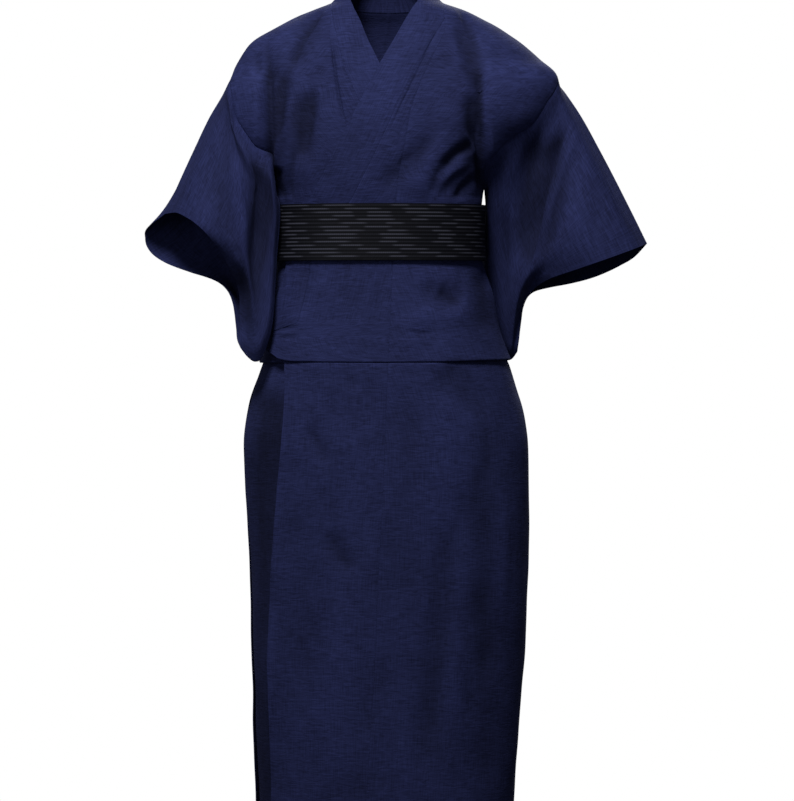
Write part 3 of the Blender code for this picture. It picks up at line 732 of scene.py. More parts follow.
def path_across(points, start):
    """Length walked along each row from one column, in mm."""
    steps = np.linalg.norm(np.diff(points, axis=1), axis=-1)
    total = np.concatenate([np.zeros((len(points), 1)), np.cumsum(steps, axis=1)], axis=1)
    return total - total[:, start][:, None]


# Meshes

def grid_quads(rows, cols, flip=False, closed=False):
    """Index quads of a grid, rows going down and columns going round."""
    wrap = cols if closed else cols - 1
    i, j = np.meshgrid(np.arange(rows - 1), np.arange(wrap), indexing="ij")
    a, b = i * cols + j, i * cols + (j + 1) % cols
    quads = np.stack([a, a + cols, b + cols, b], -1).reshape(-1, 4)
    return quads[:, ::-1] if flip else quads


def grid_normal(points, closed=False):
    """Normals of a grid of points, from the points beside."""
    down = np.gradient(points, axis=0)
    if closed:
        across = np.roll(points, -1, axis=1) - np.roll(points, 1, axis=1)
    else:
        across = np.gradient(points, axis=1)
    out = np.cross(down, across)
    return out / np.maximum(np.linalg.norm(out, axis=-1, keepdims=True), 1e-12)


def shell(name, outer, inner, quads, uv, height=None):
    """Closed wall: outer face, inner face turned over, and a rim along every open edge.

    The height of the folds in mm goes along as the attribute "relief", from which
    the cloth paints shade in the troughs and light on the ridges.
    """
    outer, inner, uv = outer.reshape(-1, 3), inner.reshape(-1, 3), uv.reshape(-1, 2)
    count = len(outer)
    edges = np.concatenate([quads[:, [k, (k + 1) % 4]] for k in range(4)])
    key, back = edges[:, 0] * count + edges[:, 1], edges[:, 1] * count + edges[:, 0]
    rim = edges[~np.isin(key, back)]
    walls = np.stack([rim[:, 1], rim[:, 0], rim[:, 0] + count, rim[:, 1] + count], -1)
    every = np.concatenate([quads, quads[:, ::-1] + count, walls])
    mesh = bpy.data.meshes.new(name)
    mesh.vertices.add(2 * count)
    mesh.vertices.foreach_set("co", (np.concatenate([outer, inner]) * MM).ravel())
    mesh.loops.add(every.size)
    mesh.loops.foreach_set("vertex_index", every.ravel().astype(np.int32))
    mesh.polygons.add(len(every))
    mesh.polygons.foreach_set("loop_start", np.arange(0, every.size, 4, dtype=np.int32))
    mesh.update(calc_edges=True)
    mesh.validate()
    weave = mesh.uv_layers.new(name="weave")
    corner = np.zeros(len(mesh.loops), np.int32)
    mesh.loops.foreach_get("vertex_index", corner)
    weave.data.foreach_set("uv", (uv[corner % count] * MM).ravel())
    if height is not None:
        folded = mesh.attributes.new("relief", "FLOAT", "POINT")
        folded.data.foreach_set("value", np.tile(height.ravel(), 2).astype(np.float32))
    mesh.polygons.foreach_set("use_smooth", np.ones(len(mesh.polygons), bool))
    ends = np.zeros(2 * len(mesh.edges), np.int32)
    mesh.edges.foreach_get("vertices", ends)
    ends = np.sort(ends.reshape(-1, 2), axis=1).astype(np.int64)
    low = np.sort(rim, axis=1).astype(np.int64)
    wide = 4 * count
    marked = low[:, 0] * wide + low[:, 1]
    marked = np.concatenate([marked, marked + count * (wide + 1)])
    sharp = mesh.attributes.new("sharp_edge", "BOOLEAN", "EDGE")
    sharp.data.foreach_set("value", np.isin(ends[:, 0] * wide + ends[:, 1], marked))
    thing = bpy.data.objects.new(name, mesh)
    bpy.context.scene.collection.objects.link(thing)
    return thing


def finish_piece(thing, node, slot):
    """Gives a piece its cloth and its body, and hides the CAD node it stands for."""
    maker, name = PAINTS[slot]
    thing.data.materials.append(bpy.data.materials.get(name) or maker(name))
    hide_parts(node)
    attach(thing, "root")


# The pieces

def side_lines(side):
    """Sign and seam lines of one side."""
    if side == "left":
        return 1.0, LEFT_COLLAR_SEAM, LEFT_FREE_EDGE, LEFT_OKUMI_SEAM
    return -1.0, RIGHT_COLLAR_SEAM, RIGHT_FREE_EDGE, RIGHT_OKUMI_SEAM


def body_quads(rows, shared, flip):
    """Quads of the front and back grids, which have one column in common in the first rows.

    The second value tells which points of the back grid are its own.
    """
    number = np.zeros((rows, BACK_COLUMNS), int)
    own = np.ones((rows, BACK_COLUMNS), bool)
    own[:shared, 0] = False
    number[own] = rows * FRONT_COLUMNS + np.arange(own.sum())
    number[:shared, 0] = np.arange(shared) * FRONT_COLUMNS + FRONT_COLUMNS - 1
    back = np.stack([number[:-1, :-1], number[1:, :-1], number[1:, 1:], number[:-1, 1:]], -1)
    back = back.reshape(-1, 4)
    front = grid_quads(rows, FRONT_COLUMNS, flip)
    return np.concatenate([front, back[:, ::-1] if flip else back]), own


def body_length(side):
    """One length of cloth, front hem over the shoulder to back hem.

    Front columns run from the collar or overlap seam to the side, back columns
    from the side to the centre back; above the armhole the two share a column.
    """
    sign, collar_line, _, okumi_line = side_lines(side)
    split = -30.0 if side == "left" else -17.0
    wall = bpy.context.scene.yukata_cloth.wall / MM
    height, stand, across, up = fine_rows(Z_TOP, ROW_STEP)
    gap = 0.5 * SEAM
    a, b = ring(height)[2:4]
    x_in = np.where(height > split, line(collar_line, height), line(okumi_line, height))
    inner_edge = angle_of(x_in + sign * (gap + 0.05), height)
    arm = np.radians(curve(ARMHOLE, height))
    yoke, pit = height >= Z_ARM - 0.01, height > Z_PIT + 0.01
    half = np.pi / 2
    outer_edge = np.where(yoke, half, np.where(pit, arm, half - 0.05 * gap / b))
    back_edge = np.where(yoke, half, np.pi - outer_edge)
    middle = np.pi - 0.1 * gap / a
    w_front = row_width(inner_edge, sign * outer_edge, height)
    close = 0.6 * (1.0 - smooth(-height, 300, 345))[:, None]
    f_front = squeeze(spread(FRONT_COLUMNS, w_front), 0.86, close)
    th_front = inner_edge[:, None] + (sign * outer_edge - inner_edge)[:, None] * f_front
    w_back = row_width(sign * back_edge, sign * middle, height)
    f_back = spread(BACK_COLUMNS, w_back)
    th_back = sign * (back_edge[:, None] + (middle - back_edge)[:, None] * f_back)
    drop = NAPE_DROP * smooth(np.abs(th_back), np.pi / 2, np.pi)
    z_back = height[:, None] - drop * smooth(height, -60, Z_TOP)[:, None]
    below = (~yoke)[:, None]
    dip_front = seam_roll(f_front, w_front, True, below)
    dip_back = seam_roll(f_back, w_back, below, True)
    faces = []
    for lift in (CLOTH, CLOTH - wall):
        front = lay(th_front, height, stand, across, up, side, lift, dip_front)
        back = lay(th_back, z_back, stand, across, up, side, lift, dip_back)
        faces.append((front, back))
    quads, own = body_quads(len(height), int(yoke.sum()), side == "right")
    outer, inner = [np.concatenate([front.reshape(-1, 3), back[own]]) for front, back in faces]
    down = path_down(height, stand)
    u_front = path_across(faces[0][0], FRONT_COLUMNS - 1)
    u_back = path_across(faces[0][1], 0)
    v_front = np.broadcast_to(down[:, None], u_front.shape)
    v_back = np.broadcast_to(down[:, None], u_back.shape)
    uv = np.concatenate([np.stack([u_front, v_front], -1).reshape(-1, 2),
                         np.stack([u_back, v_back], -1)[own]])
    z_front = np.broadcast_to(height[:, None], th_front.shape)
    # fold depth for the painted fold shade; on the right side it also paints the cloth darker
    # beside the covering edge, where it falls back
    sunk = 0.0 if side == "left" else fall_back(th_front, z_front)
    fold_shade_depth = (relief(th_front, z_front) + sunk).ravel()
    fold_shade_depth = np.concatenate([fold_shade_depth, relief(th_back, z_back)[own]])
    return shell(side + "_length", outer, inner, quads, uv, fold_shade_depth)


def overlap_strip(side):
    """The front overlap strip between its seam and the collar or free edge."""
    sign, collar_line, free_line, okumi_line = side_lines(side)
    left = side == "left"
    wall = bpy.context.scene.yukata_cloth.wall / MM
    height, stand, across, up = fine_rows(-31.0 if left else -18.0, ROW_STEP)
    gap = 0.5 * SEAM + 0.05
    past = np.clip((COLLAR_END[0] - height) / (COLLAR_END[0] - COLLAR_END[1]), 0.0, 1.0)
    by_seam, by_edge = np.maximum(height, COLLAR_END[0]), np.minimum(height, COLLAR_END[1])
    start = angle_of(line(okumi_line, height) - sign * gap, height)
    end = (angle_of(line(collar_line, by_seam) + sign * gap, by_seam) * (1.0 - past)
           + angle_of(line(free_line, by_edge), by_edge) * past)
    widths = np.maximum(row_width(end, start, height), 0.6)
    near = np.minimum(np.array(EDGE) / widths[:, None], np.linspace(0.0, 0.12, 5))
    low, high = near[:, -1:], 1.0 - near[:, -1:]
    inside = np.linspace(0.0, 1.0, STRIP_COLUMNS - 8)[1:-1][None, :]
    f = np.concatenate([near, low + (high - low) * inside, 1.0 - near[:, ::-1]], axis=1)
    theta = end[:, None] + (start - end)[:, None] * f
    sewn = (height > -545.0)[:, None]
    wide = smooth(widths, 8.0, 24.0)[:, None]
    dip = seam_roll(f, widths, sewn, True) * wide
    outer, inner = [lay(theta, height, stand, across, up, side, lift, dip)
                    for lift in (CLOTH, CLOTH - wall)]
    u = path_across(outer, 0)
    v = np.broadcast_to(path_down(height, stand)[:, None], u.shape)
    uv = np.stack([u + 40.0, v + 17.0], -1)
    quads = grid_quads(len(height), f.shape[1], flip=not left)
    fold_shade_depth = relief(theta, np.broadcast_to(height[:, None], theta.shape))
    return shell(side + "_overlap", outer, inner, quads, uv, fold_shade_depth)


def collar_rows(side, step):
    """Rows of the collar from its lower end to the nape, seam side first.

    A row joins a point of the seam line to a point of the free edge along the
    ring surface; past the shoulder it joins the neck seam to the tabled free
    edge of the standing part with a slight outward bulge.
    """
    sign, seam_line, free_line, _ = side_lines(side)
    left = side == "left"
    neck = LEFT_NECK if left else RIGHT_NECK
    w = spread(26, np.array([COLLAR_WIDTH]), BAND_EDGE)[0]
    ends = np.array((COLLAR_END, (-516.0, -528.0), (-490.0, -494.0), (-466.0, -466.0),
                     (-31.0, -31.0), (-18.0, -16.0), (-9.0, -5.0), (-3.0, 2.0)))
    at = np.concatenate([[0.0]] + [
        np.linspace(i, i + 1.0, max(3, int(abs(ends[i + 1, 0] - ends[i, 0]) / step)) + 1)[1:]
        for i in range(len(ends) - 1)])
    z_seam = np.interp(at, np.arange(len(ends)), ends[:, 0])
    z_free = np.interp(at, np.arange(len(ends)), ends[:, 1])
    z = z_seam[:, None] + (z_free - z_seam)[:, None] * w
    th_seam = angle_of(line(seam_line, z_seam) - sign * (0.5 * SEAM + 0.05), z_seam)
    th_free = angle_of(line(free_line, z_free), z_free)
    th = th_seam[:, None] + (th_free - th_seam)[:, None] * w
    lift = blouse(z) * pressed(th) + (over_lift(th, z) if left else 0.0)
    crown = 0.5 * np.sin(np.pi * w) ** 0.7 - 0.35 * np.exp(-(w * COLLAR_WIDTH / 1.4) ** 2)
    front = surface(th, z, lift + COLLAR + crown - 0.4)
    deg = np.concatenate([[82.5], np.linspace(86.0, 180.0, 34)])
    turn = np.radians(deg) * sign
    drop = NAPE_DROP * smooth(np.abs(turn), np.pi / 2, np.pi)
    seam = surface(turn, Z_TOP - drop, np.full(turn.shape, CLOTH))
    free = np.stack([curve(neck, deg, c) for c in (1, 2, 3)], -1)
    bulge = np.sin(np.pi * w)[None, :, None] * np.stack(
        [0.05 * (seam[:, 0] - 10.0), 0.03 * seam[:, 1], np.zeros(len(deg))], -1)[:, None, :]
    stand = seam[:, None, :] + (free - seam)[:, None, :] * w[None, :, None] + bulge
    fold_shade_depth = np.concatenate([relief(th, z), np.zeros(stand.shape[:2])])
    return np.concatenate([front, stand]), fold_shade_depth


def collar_band():
    """The band from the left front round the neck to the right front."""
    (left, fold_shade_depth_left), (right, fold_shade_depth_right) = collar_rows("left", 4.0), collar_rows("right", 4.0)
    grid = np.concatenate([left, right[::-1][1:]])
    fold_shade_depth = np.concatenate([fold_shade_depth_left, fold_shade_depth_right[::-1][1:]])
    inner = grid - grid_normal(grid) * 1.5
    along = walked(grid.mean(1)[:, None], 0)
    u = path_across(grid, 0)
    uv = np.stack([u, np.broadcast_to(along[:, None], u.shape)], -1)
    quads = grid_quads(len(grid), grid.shape[1])
    return shell("collar_band", grid, inner, quads, uv, fold_shade_depth)


def sleeve_ring(row, uu, facing, stray):
    """One ring: down a path with a soft elbow, standing out by shape times half width.

    uu is the share of the way down, facing is -1 in front and 1 behind, and
    stray is how far the armhole leaves its straight line, which dies out with k.
    """
    k, tx, ty, tz, ex, ez, lx, ly, lz, half, fx, fz, bx, bz = row
    top, low = np.array([tx, ty, tz]), np.array([lx, ly, lz])
    elbow = np.array([ex, ty + 0.5 * (ly - ty), ez])
    grown, shut = float(smooth(k, 0.0, 0.32)), float(smooth(k, 0.55, 1.0))
    past = uu - ELBOW
    ramp = np.where(past > ELBOW_SOFT, past,
                    np.clip(past + ELBOW_SOFT, 0.0, None) ** 2 / (4 * ELBOW_SOFT))[:, None]
    ramp *= (1.0 - ELBOW) / ramp.max()
    points = top + (elbow - top) / ELBOW * (uu[:, None] - ramp)
    points = points + (low - elbow) / (1.0 - ELBOW) * ramp
    shape = curve(RING_SHAPE, uu) * (1.0 - shut) + curve(CUFF_SHAPE, uu) * shut
    points[:, 1] += facing * half * shape * grown
    points += stray * (1.0 - grown)
    points[:, 0] += np.where(facing < 0, fx, bx) * shape * np.abs(facing)
    points[:, 2] += np.where(facing < 0, fz, bz) * shape * np.abs(facing)
    return points


def sleeve(side):
    """The folded rectangle: rings from the armhole to the open cuff, joined by cubics in k."""
    left = side == "left"
    sign = 1.0 if left else -1.0
    wall = bpy.context.scene.yukata_cloth.wall / MM
    deep = bpy.context.scene.yukata_cloth.crease_depth
    last = len(ARMHOLE) - 1
    z0 = np.interp(np.linspace(0, last, SLEEVE_POINTS), np.arange(last + 1), ARMHOLE[:, 0])
    u = (Z_ARM - z0) / (Z_ARM - Z_PIT)
    count = len(u)
    edge = np.radians(curve(ARMHOLE, z0))
    edge[0] = edge[-1] = np.pi / 2
    go = np.concatenate([edge, (np.pi - edge)[-2:0:-1]])
    zz = np.concatenate([z0, z0[-2:0:-1]])
    th = sign * go
    base = over_lift(th, zz) if left else np.zeros(th.shape)
    first = surface(th, zz, base + CLOTH)
    uu = np.concatenate([u, u[-2:0:-1]])
    facing = np.concatenate([-np.ones(count), np.ones(count - 2)])
    facing[0] = facing[count - 1] = 0.0
    top, low = first[0], first[count - 1]
    stray = first - (top + (low - top) * uu[:, None])
    rows = LEFT_SLEEVE if left else RIGHT_SLEEVE
    rings = np.array([first] + [sleeve_ring(row, uu, facing, stray) for row in rows])
    want = np.concatenate([np.linspace(0.0, 0.03, 6)[:-1], np.linspace(0.03, 1.0, SLEEVE_RINGS)])
    grid = cubic(np.concatenate([[0.0], rows[:, 0]]), rings, want)
    out_way = -grid_normal(grid, closed=True) * sign
    front = -np.broadcast_to(facing, grid.shape[:2]) * 1.0
    amount = folds(grid, front, LEFT_SLEEVE_FOLDS if left else RIGHT_SLEEVE_FOLDS)
    fine = creases(grid, front, LEFT_SLEEVE_CREASES if left else RIGHT_SLEEVE_CREASES)
    amount = amount + deep * fine
    narrow = np.minimum(1.0, 0.15 + 3.0 * np.minimum(uu, 1.0 - uu))[None, :]
    amount = (amount + 0.7 * deep * waves(grid, front)) * narrow
    amount *= smooth(want, 0.0, 0.12)[:, None]
    grid = grid + out_way * amount[..., None]
    along = np.roll(grid[0], -1, axis=0) - np.roll(grid[0], 1, axis=0)
    aside = np.cross(along, normal(th, zz)) * -sign
    aside /= np.linalg.norm(aside, axis=-1, keepdims=True)
    sunk = smooth(-zz, 258, 296)
    apart = aside * ((SEAM + 0.1) * (1.0 - sunk))[:, None]
    edge = surface(th, zz, base + CLOTH + 0.55 * sunk) + apart
    near = (1.0 - smooth(want, 0.0, 0.03))[:, None, None]
    grid = grid + (edge - first)[None] * near
    out_way = -grid_normal(grid, closed=True) * sign
    inner = grid - out_way * wall
    inner[0] = surface(th, zz, base + CLOTH - wall + 0.55 * sunk) + apart
    walk_k, walk_u = walked(grid, 0), walked(grid, 1)
    walk_u = np.where(facing > 0, -(walk_u[-1] - walk_u), walk_u)
    uv = np.stack(np.meshgrid(walk_k, walk_u, indexing="ij"), -1)
    quads = grid_quads(*grid.shape[:2], flip=left, closed=True)
    fold_shade_depth = amount + relief(th, zz) * near[..., 0]
    return shell(side + "_sleeve_cloth", grid, inner, quads, uv, fold_shade_depth)


def obi_lift(theta):
    """Inner side of the belt's first turn, clear of every layer beneath."""
    deg = (np.degrees(theta) + 180.0) % 360.0 - 180.0
    high = np.where(deg < 0, 1.0 - smooth(-deg, 66, 104), 1.0 - smooth(deg, 80, 156))
    return 2.4 + 4.8 * high


def belt_turns():
    """Two turns of the belt wound in a spiral, slightly crowned across its width."""
    turns = np.radians(np.arange(-165.0, 515.01, 2.0))
    share = spread(24, np.array([BELT_WIDTH]), BAND_EDGE)[0]
    z = Z_OBI_TOP + (Z_OBI_LOW - Z_OBI_TOP) * share
    th, zz = np.meshgrid(turns, z)
    wound = (th + np.pi) / (2 * np.pi) * (OBI + OBI_AIR)
    slack = 0.25 * np.sin(3.1 * th + 0.035 * zz) + 0.15 * np.sin(7.3 * th - 0.06 * zz)
    last = smooth(np.degrees(th), 150.0, 200.0)
    crown = 0.5 * np.sin(np.pi * share)[:, None] ** 0.5 * last
    layers = []
    for lift in (OBI, 0.6):
        raised = lift + last * (crown + slack - 0.3) * (1.0 if lift == OBI else 0.6)
        layers.append(bare(th, zz) + normal(th, zz) * (obi_lift(th) + wound + raised)[..., None])
    u = path_across(layers[0], 0)
    uv = np.stack([u, np.broadcast_to((share * BELT_WIDTH)[:, None], u.shape)], -1)
    return shell("belt_turns", *layers, grid_quads(*th.shape), uv)


# name, CAD node, corners x z, lift over the belt, rows and columns, height of the fold's ridge
BACK_STRIPS = (
    ("belt_end_upper", "obi_end_upper", ((118, -262), (34, -218), (2, -372), (62, -404)),
     0.8, 70, 44, 0.3),
    ("belt_end_lower", "obi_end_lower", ((-8, -376), (-56, -346), (-112, -470), (-26, -500)),
     0.8, 70, 44, 0.3),
    ("belt_knot", "obi_knot", ((58, -330), (-40, -322), (-60, -418), (42, -436)), 4.2, 60, 60, 0.6))
STRIP_WALL = 2.6


def back_strip(name, corners, lift, rows, cols, pinch):
    """A flat strip of the belt laid over the back: bilinear between its corners, lifted.

    Its edges round off, and a soft ridge down its length shows the fold.
    """
    tl, tr, br, bl = [np.array(c, float) for c in corners]
    v, u = np.meshgrid(np.linspace(0, 1, rows), np.linspace(0, 1, cols), indexing="ij")
    flat = ((1 - v) * (1 - u))[..., None] * tl + ((1 - v) * u)[..., None] * tr \
        + (v * u)[..., None] * br + (v * (1 - u))[..., None] * bl
    x, z = flat[..., 0], flat[..., 1]
    cx, _, a = ring(z)[:3]
    th = np.pi + np.arcsin(np.clip((cx - x) / a, -0.95, 0.95))
    clear = obi_lift(th) + 2 * (OBI + OBI_AIR) + OBI + lift + blouse(z)
    edge = np.minimum(np.minimum(u, 1 - u), np.minimum(v, 1 - v))
    round_off = 0.7 * np.exp(-edge / 0.025)
    fold = pinch * np.exp(-((u - 0.52 - 0.05 * np.sin(3 * v)) / 0.05) ** 2)
    base = bare(th, z)
    way = normal(th, z)
    layers = [base + way * (clear + add)[..., None]
              for add in (STRIP_WALL - round_off + fold, 0.25 * np.ones(u.shape))]
    tall = 0.5 * (np.linalg.norm(tl - bl) + np.linalg.norm(tr - br))
    wide = 0.5 * (np.linalg.norm(tl - tr) + np.linalg.norm(bl - br))
    uv = np.stack([v * tall + 31.0, u * wide], -1)
    return shell(name, *layers, grid_quads(rows, cols), uv)


# Materials

def linear(code):
    """sRGB hex to linear RGBA."""
    raw = np.array([int(code[i:i + 2], 16) for i in (1, 3, 5)]) / 255.0
    low = np.where(raw <= 0.04045, raw / 12.92, ((raw + 0.055) / 1.055) ** 2.4)
    return (*[float(c) for c in low], 1.0)


def add(tree, kind, inputs=(), **settings):
    """Adds a shader node, sets its properties, and fills its inputs.

    An input takes a value, a socket, or a node, which stands for its first output.
    """
    made = tree.nodes.new("ShaderNode" + kind)
    for name, value in settings.items():
        setattr(made, name, value)
    for name, value in dict(inputs).items():
        if isinstance(value, bpy.types.Node):
            value = value.outputs[0]
        if isinstance(value, bpy.types.NodeSocket):
            tree.links.new(value, made.inputs[name])
        else:
            made.inputs[name].default_value = value
    return made


def new_paint(name):
    """An empty node material with its output."""
    paint = bpy.data.materials.new(name)
    paint.use_nodes = True
    paint.node_tree.nodes.clear()
    return paint, paint.node_tree


def shijira_cotton(name):
    """Shijira cotton, plain-woven with slack and tight warps and dyed navy.

    Slack threads draw up into short crosswise ripples about 3 mm apart and
    20 to 30 mm long; the threads themselves are drawn at 1.7 mm, twice
    their real spacing, so that they show.  Matt, with a little nap.  Painted light
    and shade: the ripples get a lit navy on them and a shaded navy between, and the
    colour is darkened in the troughs of the folds and lightened on their ridges.
    """
    s = bpy.context.scene.yukata_cloth
    paint, tree = new_paint(name)
    place = add(tree, "UVMap", uv_map="weave")
    ripple_at = add(tree, "Mapping", {"Vector": place, "Scale": (52.0, 310.0, 1.0)})
    ripple = add(tree, "TexNoise", {"Vector": ripple_at, "Scale": 1.0, "Detail": 3.0,
                                    "Roughness": 0.6, "Distortion": 0.7},
                 noise_dimensions="2D")
    warp_at = add(tree, "Mapping", {"Vector": place, "Scale": (590.0, 30.0, 1.0)})
    warp = add(tree, "TexNoise", {"Vector": warp_at, "Scale": 1.0, "Detail": 1.0,
                                  "Roughness": 0.5}, noise_dimensions="2D")
    dye = add(tree, "TexNoise", {"Vector": place, "Scale": 14.0, "Detail": 3.0,
                                 "Roughness": 0.55}, noise_dimensions="2D")
    weft = add(tree, "Math", {0: warp, 1: 0.45}, operation="MULTIPLY")
    cloth = add(tree, "Math", {0: ripple, 1: weft}, operation="ADD")
    tone = add(tree, "Math", {0: dye, 1: 0.35, 2: cloth}, operation="MULTIPLY_ADD")
    level = add(tree, "MapRange", {"Value": tone, "From Min": 0.62, "From Max": 1.18})
    # painted light and shade: the ripple noise, which also drives the bump, picks the lit navy on
    # the ripples and the shaded navy between them; the dye noise adds random tone
    ripple_light_and_dye = add(tree, "Mix", {0: level, 6: linear(s.shade), 7: linear(s.colour)},
                  data_type="RGBA")
    # painted shade and painted light: the fold depth darkens the colour in the troughs and lightens
    # it on the ridges
    folded = add(tree, "Attribute", attribute_name="relief").outputs["Fac"]
    painted_fold_shade = add(tree, "MapRange", {"Value": folded, "From Min": -9.0, "From Max": 2.5,
                                    "To Min": 0.42, "To Max": 1.1})
    colour = add(tree, "VectorMath", {0: ripple_light_and_dye.outputs[2], "Scale": painted_fold_shade}, operation="SCALE")
    bump = add(tree, "Bump", {"Strength": 0.55, "Distance": s.ripple, "Height": cloth})
    shader = add(tree, "BsdfPrincipled", {
        "Base Color": colour, "Roughness": 0.88, "Specular IOR Level": 0.12,
        "Sheen Weight": 0.06, "Sheen Roughness": 0.5, "Sheen Tint": linear("#5a63a8"),
        "Normal": bump})
    add(tree, "OutputMaterial", {"Surface": shader})
    return paint


def hakata_cotton(name):
    """Ribbed belt cloth, black, with broken grey dashes woven along its length.

    Sixteen rows 6 mm apart; a dash is about 50 mm long in every 86 mm with a
    faint thread between, shifted from row to row, beaded where it passes ribs.
    """
    s = bpy.context.scene.yukata_belt
    paint, tree = new_paint(name)
    place = add(tree, "UVMap", uv_map="weave")
    along, across = add(tree, "SeparateXYZ", {0: place}).outputs[:2]
    rows = add(tree, "Math", {0: across, 1: 1.0 / s.row_pitch}, operation="MULTIPLY")
    row = add(tree, "Math", {0: rows}, operation="FLOOR")
    start = add(tree, "TexWhiteNoise", {"W": row}, noise_dimensions="1D")
    row_place = add(tree, "Math", {0: row, 1: 7.3}, operation="MULTIPLY")
    drift_at = add(tree, "Math", {0: along, 1: 9.0, 2: row_place}, operation="MULTIPLY_ADD")
    drift = add(tree, "TexNoise", {"W": drift_at, "Scale": 1.0, "Detail": 1.0},
                noise_dimensions="1D")
    shift = add(tree, "Math", {0: drift, 1: 0.9, 2: start}, operation="MULTIPLY_ADD")
    dashes = add(tree, "Math", {0: along, 1: 1.0 / DASH_PERIOD, 2: shift}, operation="MULTIPLY_ADD")
    turn = add(tree, "Math", {0: dashes}, operation="FRACT")
    rise = add(tree, "MapRange", {"Value": turn, "From Min": 0.0, "From Max": 0.1})
    fall = add(tree, "MapRange", {"Value": turn, "From Min": 0.62, "From Max": 0.50})
    in_dash = add(tree, "Math", {0: rise, 1: fall}, operation="MULTIPLY")
    shine = add(tree, "Math", {0: in_dash, 1: 0.78, 2: 0.22}, operation="MULTIPLY_ADD")
    in_row = add(tree, "Math", {0: rows}, operation="FRACT")
    aside = add(tree, "Math", {0: in_row, 1: 0.5}, operation="SUBTRACT")
    off = add(tree, "Math", {0: aside}, operation="ABSOLUTE")
    thin = add(tree, "MapRange", {"Value": off, "From Min": 0.27, "From Max": 0.08})
    ribs_along = add(tree, "Math", {0: along, 1: 1900.0}, operation="MULTIPLY")
    wave = add(tree, "Math", {0: ribs_along}, operation="SINE")
    bead = add(tree, "Math", {0: wave, 1: 0.16, 2: 0.84}, operation="MULTIPLY_ADD")
    beaded = add(tree, "Math", {0: thin, 1: bead}, operation="MULTIPLY")
    dash = add(tree, "Math", {0: shine, 1: beaded}, operation="MULTIPLY")
    from_middle = add(tree, "Math", {0: across, 1: 0.5 * BELT_WIDTH * MM}, operation="SUBTRACT")
    away = add(tree, "Math", {0: from_middle}, operation="ABSOLUTE")
    edge = add(tree, "MapRange", {"Value": away, "From Min": 0.0462, "From Max": 0.0450})
    shown = add(tree, "Math", {0: dash, 1: edge}, operation="MULTIPLY")
    rib_at = add(tree, "Mapping", {"Vector": place, "Scale": (420.0, 60.0, 1.0)})
    rib = add(tree, "TexNoise", {"Vector": rib_at, "Scale": 1.0, "Detail": 2.0},
              noise_dimensions="2D")
    ground = add(tree, "Mix", {0: rib, 6: linear(s.shade), 7: linear(s.colour)},
                 data_type="RGBA").outputs[2]
    colour = add(tree, "Mix", {0: shown, 6: ground, 7: linear(s.dash)},
                 data_type="RGBA").outputs[2]
    rib_height = add(tree, "Math", {0: rib, 1: 0.6}, operation="MULTIPLY")
    height = add(tree, "Math", {0: dash, 1: 0.5, 2: rib_height}, operation="MULTIPLY_ADD")
    bump = add(tree, "Bump", {"Strength": 0.6, "Distance": 0.0005, "Height": height})
    shader = add(tree, "BsdfPrincipled", {
        "Base Color": colour, "Roughness": 0.6, "Specular IOR Level": 0.1,
        "Sheen Weight": 0.0, "Normal": bump})
    add(tree, "OutputMaterial", {"Surface": shader})
    return paint


def floor_paint():
    """Matt pale paper under the robe; it throws little light back up."""
    paint, tree = new_paint("paper_matt_white")
    grain = add(tree, "TexNoise", {"Scale": 30.0, "Detail": 2.0})
    colour = add(tree, "Mix", {0: grain, 6: linear("#f2f2f2"), 7: linear("#f8f8f8")},
                 data_type="RGBA").outputs[2]
    shader = add(tree, "BsdfPrincipled", {"Base Color": colour, "Roughness": 0.9})
    quiet = add(tree, "BsdfDiffuse", {"Color": linear("#2c2c2e")})
    seen = add(tree, "LightPath").outputs["Is Camera Ray"]
    both = add(tree, "MixShader", {0: seen, 1: quiet, 2: shader})
    add(tree, "OutputMaterial", {"Surface": both})
    return paint


# the material of each slot, made once
PAINTS = {"cloth": (shijira_cotton, "cotton_shijira_navy"),
          "belt": (hakata_cotton, "cotton_rib_black_dashed")}


# Settings

class YukataClothSettings(PropertyGroup):
    colour: StringProperty(name="Colour", default="#292f5a",
                           description="Navy of the threads that catch the light, as sRGB hex")
    # painted shade: the shaded navy laid between the ripples
    shade: StringProperty(name="Shade", description="Navy between the ripples, as sRGB hex",
                          default="#181c3c")
    wall: FloatProperty(name="Wall", description="Thickness of one cloth layer", default=0.0009,
                        unit="LENGTH")
    crease_depth: FloatProperty(name="Crease Depth", description="Factor on the fine creases",
                                default=1.0, subtype="FACTOR")
    ripple: FloatProperty(name="Ripple", description="Height of the shijira ripples",
                          default=0.0009, unit="LENGTH")


class YukataBeltSettings(PropertyGroup):
    colour: StringProperty(name="Colour", description="Black ground of the belt, as sRGB hex",
                           default="#07080e")
    shade: StringProperty(name="Shade", description="Darker ribs, as sRGB hex", default="#040408")
    dash: StringProperty(name="Dash", description="Grey of the woven dashes, as sRGB hex",
                         default="#3e3f4b")
    row_pitch: FloatProperty(name="Row Pitch", description="Distance between two rows of dashes",
                             default=0.0061, unit="LENGTH")


class YukataStageSettings(PropertyGroup):
    distance: FloatProperty(name="Camera Distance", description="From the camera to the robe",
                            default=12.0, unit="LENGTH")
    floor_radius: FloatProperty(name="Floor Radius", description="Radius of the pale floor",
                                default=1.3, unit="LENGTH")
    key_power: FloatProperty(name="Key Light", description="Power of the large front light",
                             default=132.0, unit="POWER")


# Operators

class YUKATA_OT_body_lengths(Operator):
    """Build the two lengths of cloth that make the body"""
    bl_idname = "yukata.body_lengths"
    bl_label = "Body Lengths"

    def execute(self, context):
        for side in SIDES:
            finish_piece(body_length(side), side + "_body", "cloth")
        return {"FINISHED"}


